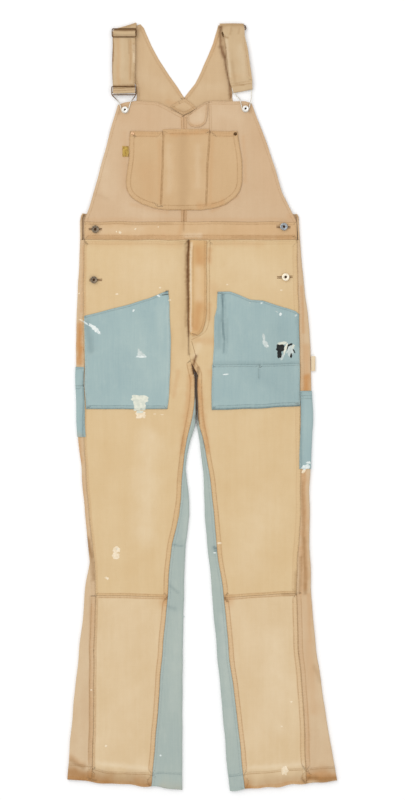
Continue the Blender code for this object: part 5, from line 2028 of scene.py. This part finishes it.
@dataclass
class Bench:
    """One metal piece on the bench: faces are picked by place, then worked in edit mode."""

    name: str
    node: str
    finish: Material
    slot: str

    def take(self) -> Item:
        """Takes up the primitive that was just added, its place in its mesh."""
        bpy.ops.object.transform_apply(location=True, rotation=True, scale=True)
        item = bpy.context.view_layer.objects.active
        item.name = item.data.name = self.name
        item.data.materials.append(self.finish)
        return item

    def pick(self, item: Item, way: float, x: float, y: float) -> None:
        """Selects the face round an axis that looks up or down, in edit mode.

        Args:
            item: The piece.
            way: 1 for up, -1 for down.
            x, y: The axis.
        """
        bpy.ops.object.mode_set(mode="EDIT")
        bpy.context.tool_settings.mesh_select_mode = (False, False, True)
        bpy.ops.mesh.select_all(action="DESELECT")
        bpy.ops.object.mode_set(mode="OBJECT")
        for face in item.data.polygons:
            middle = face.center / MM
            face.select = face.normal.z * way > 0.9 and math.hypot(middle.x - x, middle.y - y) < 0.2
        bpy.ops.object.mode_set(mode="EDIT")

    def ring(self, item: Item, way: float, x: float, y: float, inset: float, rise: float) -> None:
        """Insets the face round an axis and moves it along z.

        Args:
            item: The piece.
            way: 1 for its upper face, -1 for its lower one.
            x, y: The axis.
            inset: How far it is inset, in millimetres.
            rise: How far it moves.
        """
        self.pick(item, way, x, y)
        bpy.ops.mesh.inset(thickness=inset * MM, depth=0.0)
        bpy.ops.transform.translate(value=(0.0, 0.0, rise * MM))
        bpy.ops.object.mode_set(mode="OBJECT")

    def declare(self, item: Item) -> None:
        """Parents the piece to the root body, hides its CAD node and logs its faces."""
        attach(item, "root")
        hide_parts(self.node)
        LOG.info("%s: %d faces", item.name, len(item.data.polygons))


@dataclass
class Stud(Bench):
    """A round metal piece, turned: a tack button or a rivet, from its rim to its middle."""

    turns: tuple[Point, ...]            # insets and rises, as shares of its radius
    pit: Material | None = None         # what its middle shows
    pit_reach: float = 0.36             # how far that reaches, as a share of its radius
    thick: float = 1.3                  # of its cap
    shank: float = 0.42                 # radius of its shank as a share of its radius
    sides: int = 40
    edge: float = 0.16                  # how wide its edges are rounded

    def build(self) -> None:
        """Makes the piece in the space of its CAD node."""
        low, high, x, y, radius = middle_of(self.node)
        climb = sum(max(rise, 0.0) for _, rise in self.turns[:2]) * radius
        foot = high.z - climb - self.thick
        bpy.ops.object.select_all(action="DESELECT")
        bpy.ops.mesh.primitive_cylinder_add(
            vertices=self.sides, radius=radius * MM, depth=self.thick * MM,
            location=(x * MM, y * MM, (high.z - climb - self.thick / 2) * MM),
        )
        item = self.take()
        for inset, rise in self.turns:
            self.ring(item, 1.0, x, y, inset * radius, rise * radius)
        if self.shank:
            self.ring(item, -1.0, x, y, (1.0 - self.shank) * radius, 0.0)
            self.pick(item, -1.0, x, y)
            drop = (0.0, 0.0, (low.z - foot) * MM)
            bpy.ops.mesh.extrude_region_move(TRANSFORM_OT_translate={"value": drop})
            bpy.ops.object.mode_set(mode="OBJECT")
        bevel = item.modifiers.new("rounding", "BEVEL")
        bevel.width, bevel.segments = self.edge * MM, 2
        bevel.limit_method, bevel.angle_limit = "ANGLE", math.radians(22)
        bpy.ops.object.modifier_apply(modifier=bevel.name)
        bpy.ops.object.shade_smooth_by_angle(angle=math.radians(40))
        if self.pit is not None:
            item.data.materials.append(self.pit)
            for face in item.data.polygons:
                middle = face.center / MM
                inside = math.hypot(middle.x - x, middle.y - y) < self.pit_reach * radius
                face.material_index = 1 if inside and middle.z > low.z + 1.0 else 0
        self.declare(item)


@dataclass
class Wire(Bench):
    """A fitting bent from round wire: each run is drawn point by point, then swelled to its thickness."""

    runs: list[list[Vector]]
    radius: float = 1.0
    bend: float = 3.0       # how far from a corner the wire starts to turn

    def rounded(self, corners: list[Vector], closed: bool) -> list[Vector]:
        """Bends a run round at its corners.

        Args:
            corners: The run's corners.
            closed: Whether its ends meet.

        Returns:
            Its points.
        """
        count, made = len(corners), []
        for k, corner in enumerate(corners):
            if not closed and k in (0, count - 1):
                made.append(corner)
                continue
            before, after = corners[k - 1] - corner, corners[(k + 1) % count] - corner
            start = corner + before.normalized() * min(self.bend, before.length / 2.2)
            end = corner + after.normalized() * min(self.bend, after.length / 2.2)
            for share in (0.0, 0.25, 0.5, 0.75, 1.0):
                made.append(start * (1 - share) ** 2 + corner * (2 * share * (1 - share)) + end * share**2)
        return made

    def draw(self, run: list[Vector]) -> Item:
        """One run, extruded from a single point and given its thickness.

        Args:
            run: Its corners; a run that ends where it starts is closed.

        Returns:
            The run's mesh.
        """
        closed = (run[0] - run[-1]).length < 0.01
        route = self.rounded(run[:-1] if closed else run, closed)
        bpy.ops.object.select_all(action="DESELECT")
        bpy.ops.mesh.primitive_plane_add(size=MM)
        self.take()
        bpy.ops.object.mode_set(mode="EDIT")
        bpy.context.tool_settings.mesh_select_mode = (True, False, False)
        bpy.ops.mesh.select_all(action="SELECT")
        bpy.ops.mesh.merge(type="CENTER")
        bpy.ops.transform.translate(value=route[0] * MM)
        for here, there in zip(route, route[1:] + route[:1] if closed else route[1:]):
            bpy.ops.mesh.extrude_vertices_move(TRANSFORM_OT_translate={"value": (there - here) * MM})
        bpy.ops.mesh.select_all(action="SELECT")
        bpy.ops.mesh.remove_doubles(threshold=0.01 * MM)
        bpy.ops.object.mode_set(mode="OBJECT")
        bpy.ops.object.convert(target="CURVE")
        item = bpy.context.view_layer.objects.active
        item.data.bevel_depth, item.data.bevel_resolution = self.radius * MM, 3
        item.data.use_fill_caps = True
        bpy.ops.object.convert(target="MESH")
        return bpy.context.view_layer.objects.active

    def build(self) -> None:
        """Makes the fitting."""
        parts = [self.draw(run) for run in self.runs]
        for part in parts:
            part.select_set(True)
        bpy.context.view_layer.objects.active = parts[0]
        bpy.ops.object.join()
        item = bpy.context.view_layer.objects.active
        item.name = item.data.name = self.name
        item.data.materials.clear()
        item.data.materials.append(self.finish)
        bpy.ops.object.shade_smooth()
        self.declare(item)


@dataclass
class Loop:
    """The rectangle of wire that a strap runs through: its middle, size, turn in degrees and height."""

    x: float
    y: float
    width: float
    length: float
    turn: float
    z: float
    clear: float = 0.6          # between a button and the wire round it
    lift: float = 1.1           # how high over a button's foot that wire runs
    ring: Point = (1.08, 0.84)  # where its ring round a button starts, and how far it goes, in half turns
    bends: int = 6              # in that ring
    waist: float = 1.7          # how wide the wires are where they close in, as a share of the ring
    rise: float = 0.4           # how much higher they run there

    def at(self, across: float, along: float) -> Vector:
        """The place that many half widths across and half lengths along."""
        turn, u, v = math.radians(self.turn), across * self.width / 2, along * self.length / 2
        return Vector((self.x + u * math.cos(turn) - v * math.sin(turn),
                       self.y + u * math.sin(turn) + v * math.cos(turn), self.z))

    def slide(self) -> list[list[Vector]]:
        """The runs of a strap slide: round the rectangle, and its middle bar."""
        around = [self.at(*corner) for corner in ((-1, -1), (1, -1), (1, 1), (-1, 1), (-1, -1))]
        return [around, [self.at(-1, 0), self.at(1, 0)]]

    def hook(self, button: str, *bars: float) -> list[list[Vector]]:
        """The runs of a bib hook: round the rectangle and down to close in round its button, and its bars.

        Args:
            button: The button's node.
            bars: How many half lengths along the rectangle each bar crosses it.

        Returns:
            The runs.
        """
        low, _, x, y, half = middle_of(button)
        reach, z = half + self.clear, low.z + self.lift
        neck = y + 0.5 * (self.y - self.length / 2 - y)
        around = [self.at(*corner) for corner in ((1, -1), (1, 1), (-1, 1), (-1, -1))]
        start, turn = self.ring
        angles = [math.pi * (start + turn * step / self.bends) for step in range(self.bends + 1)]
        ring = [Vector((x + reach * math.cos(angle), y + reach * math.sin(angle), z)) for angle in angles]
        waist = [Vector((x + side * reach * self.waist, neck, z + self.rise)) for side in (-1, 1)]
        crossing = [[self.at(-1, bar), self.at(1, bar)] for bar in bars]
        return [[*around, waist[0], *ring, waist[1], around[0]], *crossing]


@dataclass
class Fittings:
    """The metal of the garment, each piece in place of its CAD node."""

    shop: Workshop
    dished: tuple[Point, ...] = ((0.10, 0.05), (0.16, 0.0), (0.14, -0.12), (0.2, -0.02), (0.06, 0.08))
    domed: tuple[Point, ...] = ((0.12, 0.08), (0.22, 0.0), (0.3, -0.14), (0.1, -0.1))
    capped: tuple[Point, ...] = ((0.2, 0.1), (0.2, 0.06), (0.16, -0.05))

    def build(self) -> None:
        """Makes every fitting."""
        metal = self.shop.metal
        looks = {
            "bib_button_left": ("bright", "steel", self.dished),
            "bib_button_right": ("bright", "steel", self.dished),
            "waist_button_left": ("dark", "steel", self.dished),
            "waist_button_right": ("grey", "steel", self.dished),
            "hip_button_left": ("dark", "steel", self.dished),
            "hip_button_right": ("cream", "cream_metal", self.domed),
        }
        for node, (look, slot, turns) in looks.items():
            Stud(node + "_turned", node, metal[look], slot, turns, metal["pit"]).build()
        for node, look in (("rivet_left", "rubbed"), ("rivet_right", "brass")):
            rivet = {"thick": 0.7, "shank": 0.0, "sides": 24}
            Stud(node + "_turned", node, metal[look], "brass", self.capped, **rivet).build()
        left, right = Loop(-156, 631.1, 48.5, 16.6, 0, 8.4), Loop(79, 640.4, 38, 16, 10, 3.5)
        wires = {
            "slide_left": ("wire", Loop(-155.5, 746.6, 48, 16.4, 0, 8.4).slide()),
            "slide_right": ("wire", Loop(64, 751.4, 49, 9, 18, 4.3).slide()),
            "buckle_left": ("wire", left.hook("bib_button_left", -1.0, -0.39)),
            "buckle_right": ("bare", right.hook("bib_button_right", -1.0, -0.62)),
        }
        for node, (look, runs) in wires.items():
            Wire(node + "_wire", node, metal[look], "steel", runs).build()


@dataclass
class Studio:
    """The pale floor, soft lights and a camera straight above."""

    eye: Place = (0.001, 0.0134, 3.78)
    lens: float = 85.0
    sensor: float = 36.0
    floor_size: float = 12.0
    gap: float = 0.0004         # between the garment and the floor
    world: float = 0.78
    key: float = 60.0
    fill: float = 0.35          # as a share of the key light

    def build(self) -> None:
        """Sets the stage."""
        bpy.ops.object.select_all(action="DESELECT")
        bpy.ops.mesh.primitive_plane_add(size=self.floor_size, location=(0, 0, -self.gap))
        floor = bpy.context.view_layer.objects.active
        floor.name = "floor"
        bpy.ops.object.transform_apply(location=True)
        floor.data.materials.append(PaleFloor().build())
        world = bpy.data.worlds.new("studio")
        world.use_nodes = True
        glow = world.node_tree.nodes["Background"].inputs
        glow["Color"].default_value, glow["Strength"].default_value = (1.0, 1.0, 1.0, 1.0), self.world
        scene = bpy.context.scene
        scene.world = world
        scene.view_settings.view_transform = "Standard"
        for name, place, size, power in (("key", (-1.9, 1.5, 3.2), 3.4, self.key),
                                         ("fill", (1.8, -1.5, 3.2), 3.0, self.key * self.fill)):
            lamp = bpy.data.lights.new(name, "AREA")
            lamp.size, lamp.energy = size, power
            self.hang(name, lamp, place).rotation_euler = (-Vector(place)).to_track_quat("-Z", "Y").to_euler()
        camera = bpy.data.cameras.new("above")
        camera.lens, camera.sensor_width = self.lens, self.sensor
        scene.camera = self.hang("above", camera, self.eye)

    @staticmethod
    def hang(name: str, data: bpy.types.ID, place: Place) -> Item:
        """Puts a lamp or a camera in the scene.

        Args:
            name: Its name.
            data: The lamp or the camera.
            place: Where it hangs.

        Returns:
            Its object.
        """
        holder = bpy.data.objects.new(name, data)
        holder.location = place
        bpy.context.scene.collection.objects.link(holder)
        return holder


CREASES = [
    (-246, 436, -172, 412, 9, -0.9, 4), (-238, 448, -180, 428, 12, 0.5, 3),
    (120, 470, 196, 402, 12, -0.5, -6), (-120, 596, -90, 560, 14, -0.4, 4), (-60, 330, -100, 250, 16, 0.6, 6),
    (-42, 300, -58, 120, 12, -0.5, -5), (30, 320, 60, 250, 14, 0.5, -4), (-18, 96, -70, 0, 12, 0.7, 6),
    (-30, 60, -90, -60, 16, -0.6, 8), (-4, 88, 40, 4, 12, 0.7, -5), (4, 50, 60, -50, 14, -0.5, -8),
    (-200, -250, -130, -330, 26, -0.6, 10), (-216, -270, -205, -345, 8, 0.9, -4),
    (196, -150, 203, -345, 7, 0.8, 3), (110, -60, 116, -180, 14, -0.45, 6),
    (132, -90, 128, -200, 16, 0.45, -5), (60, -290, 130, -340, 18, -0.4, 5),
    (-130, -470, -140, -700, 22, 0.45, 8), (-184, -520, -178, -700, 18, -0.35, -6),
    (120, -450, 140, -650, 20, 0.4, -8), (170, -470, 180, -560, 16, -0.45, 5),
    (-68, -276, -36, -280, 5, -1, 1), (-66, -266, -36, -268, 6, 0.6, 1), (16, -281, 34, -283, 3, -0.9, 0),
    (14, -288, 34, -291, 3, -0.8, 0), (-70, -356, -46, -374, 5, -0.8, 1), (-70, -420, -46, -560, 8, 0.5, 4),
    (-62, -520, -54, -700, 8, -0.5, -3), (-262, -700, -228, -728, 8, 0.7, 2),
    (220, -600, 246, -540, 9, 0.5, 2), (232, -640, 250, -700, 8, -0.5, 2),
]


def main() -> None:
    """Builds the garment's pieces in order and reports each."""
    logging.basicConfig(level=logging.INFO, format="%(message)s")
    Studio().build()
    shop = Workshop()
    trousers = Trousers()
    relief = Relief([Crease(*row) for row in CREASES], trousers.lifting())
    groups = [trousers, Waist(), Fly(), Bib(), BackBib(), Pockets(), Straps()]
    sheets = [sheet for group in groups for sheet in group.sheets()]
    for sheet in sheets:
        sheet.build(relief, shop)
    ground = Ground(sheets, relief)
    needle = Needle(ground, shop)
    for sheet in sheets:
        needle.sew(sheet)
        sheet.declare()
    spatter = Spatter(ground)
    for coat in SPLASHES:
        spatter.build(coat)
    Fittings(shop).build()


if __name__ == "__main__":
    main()
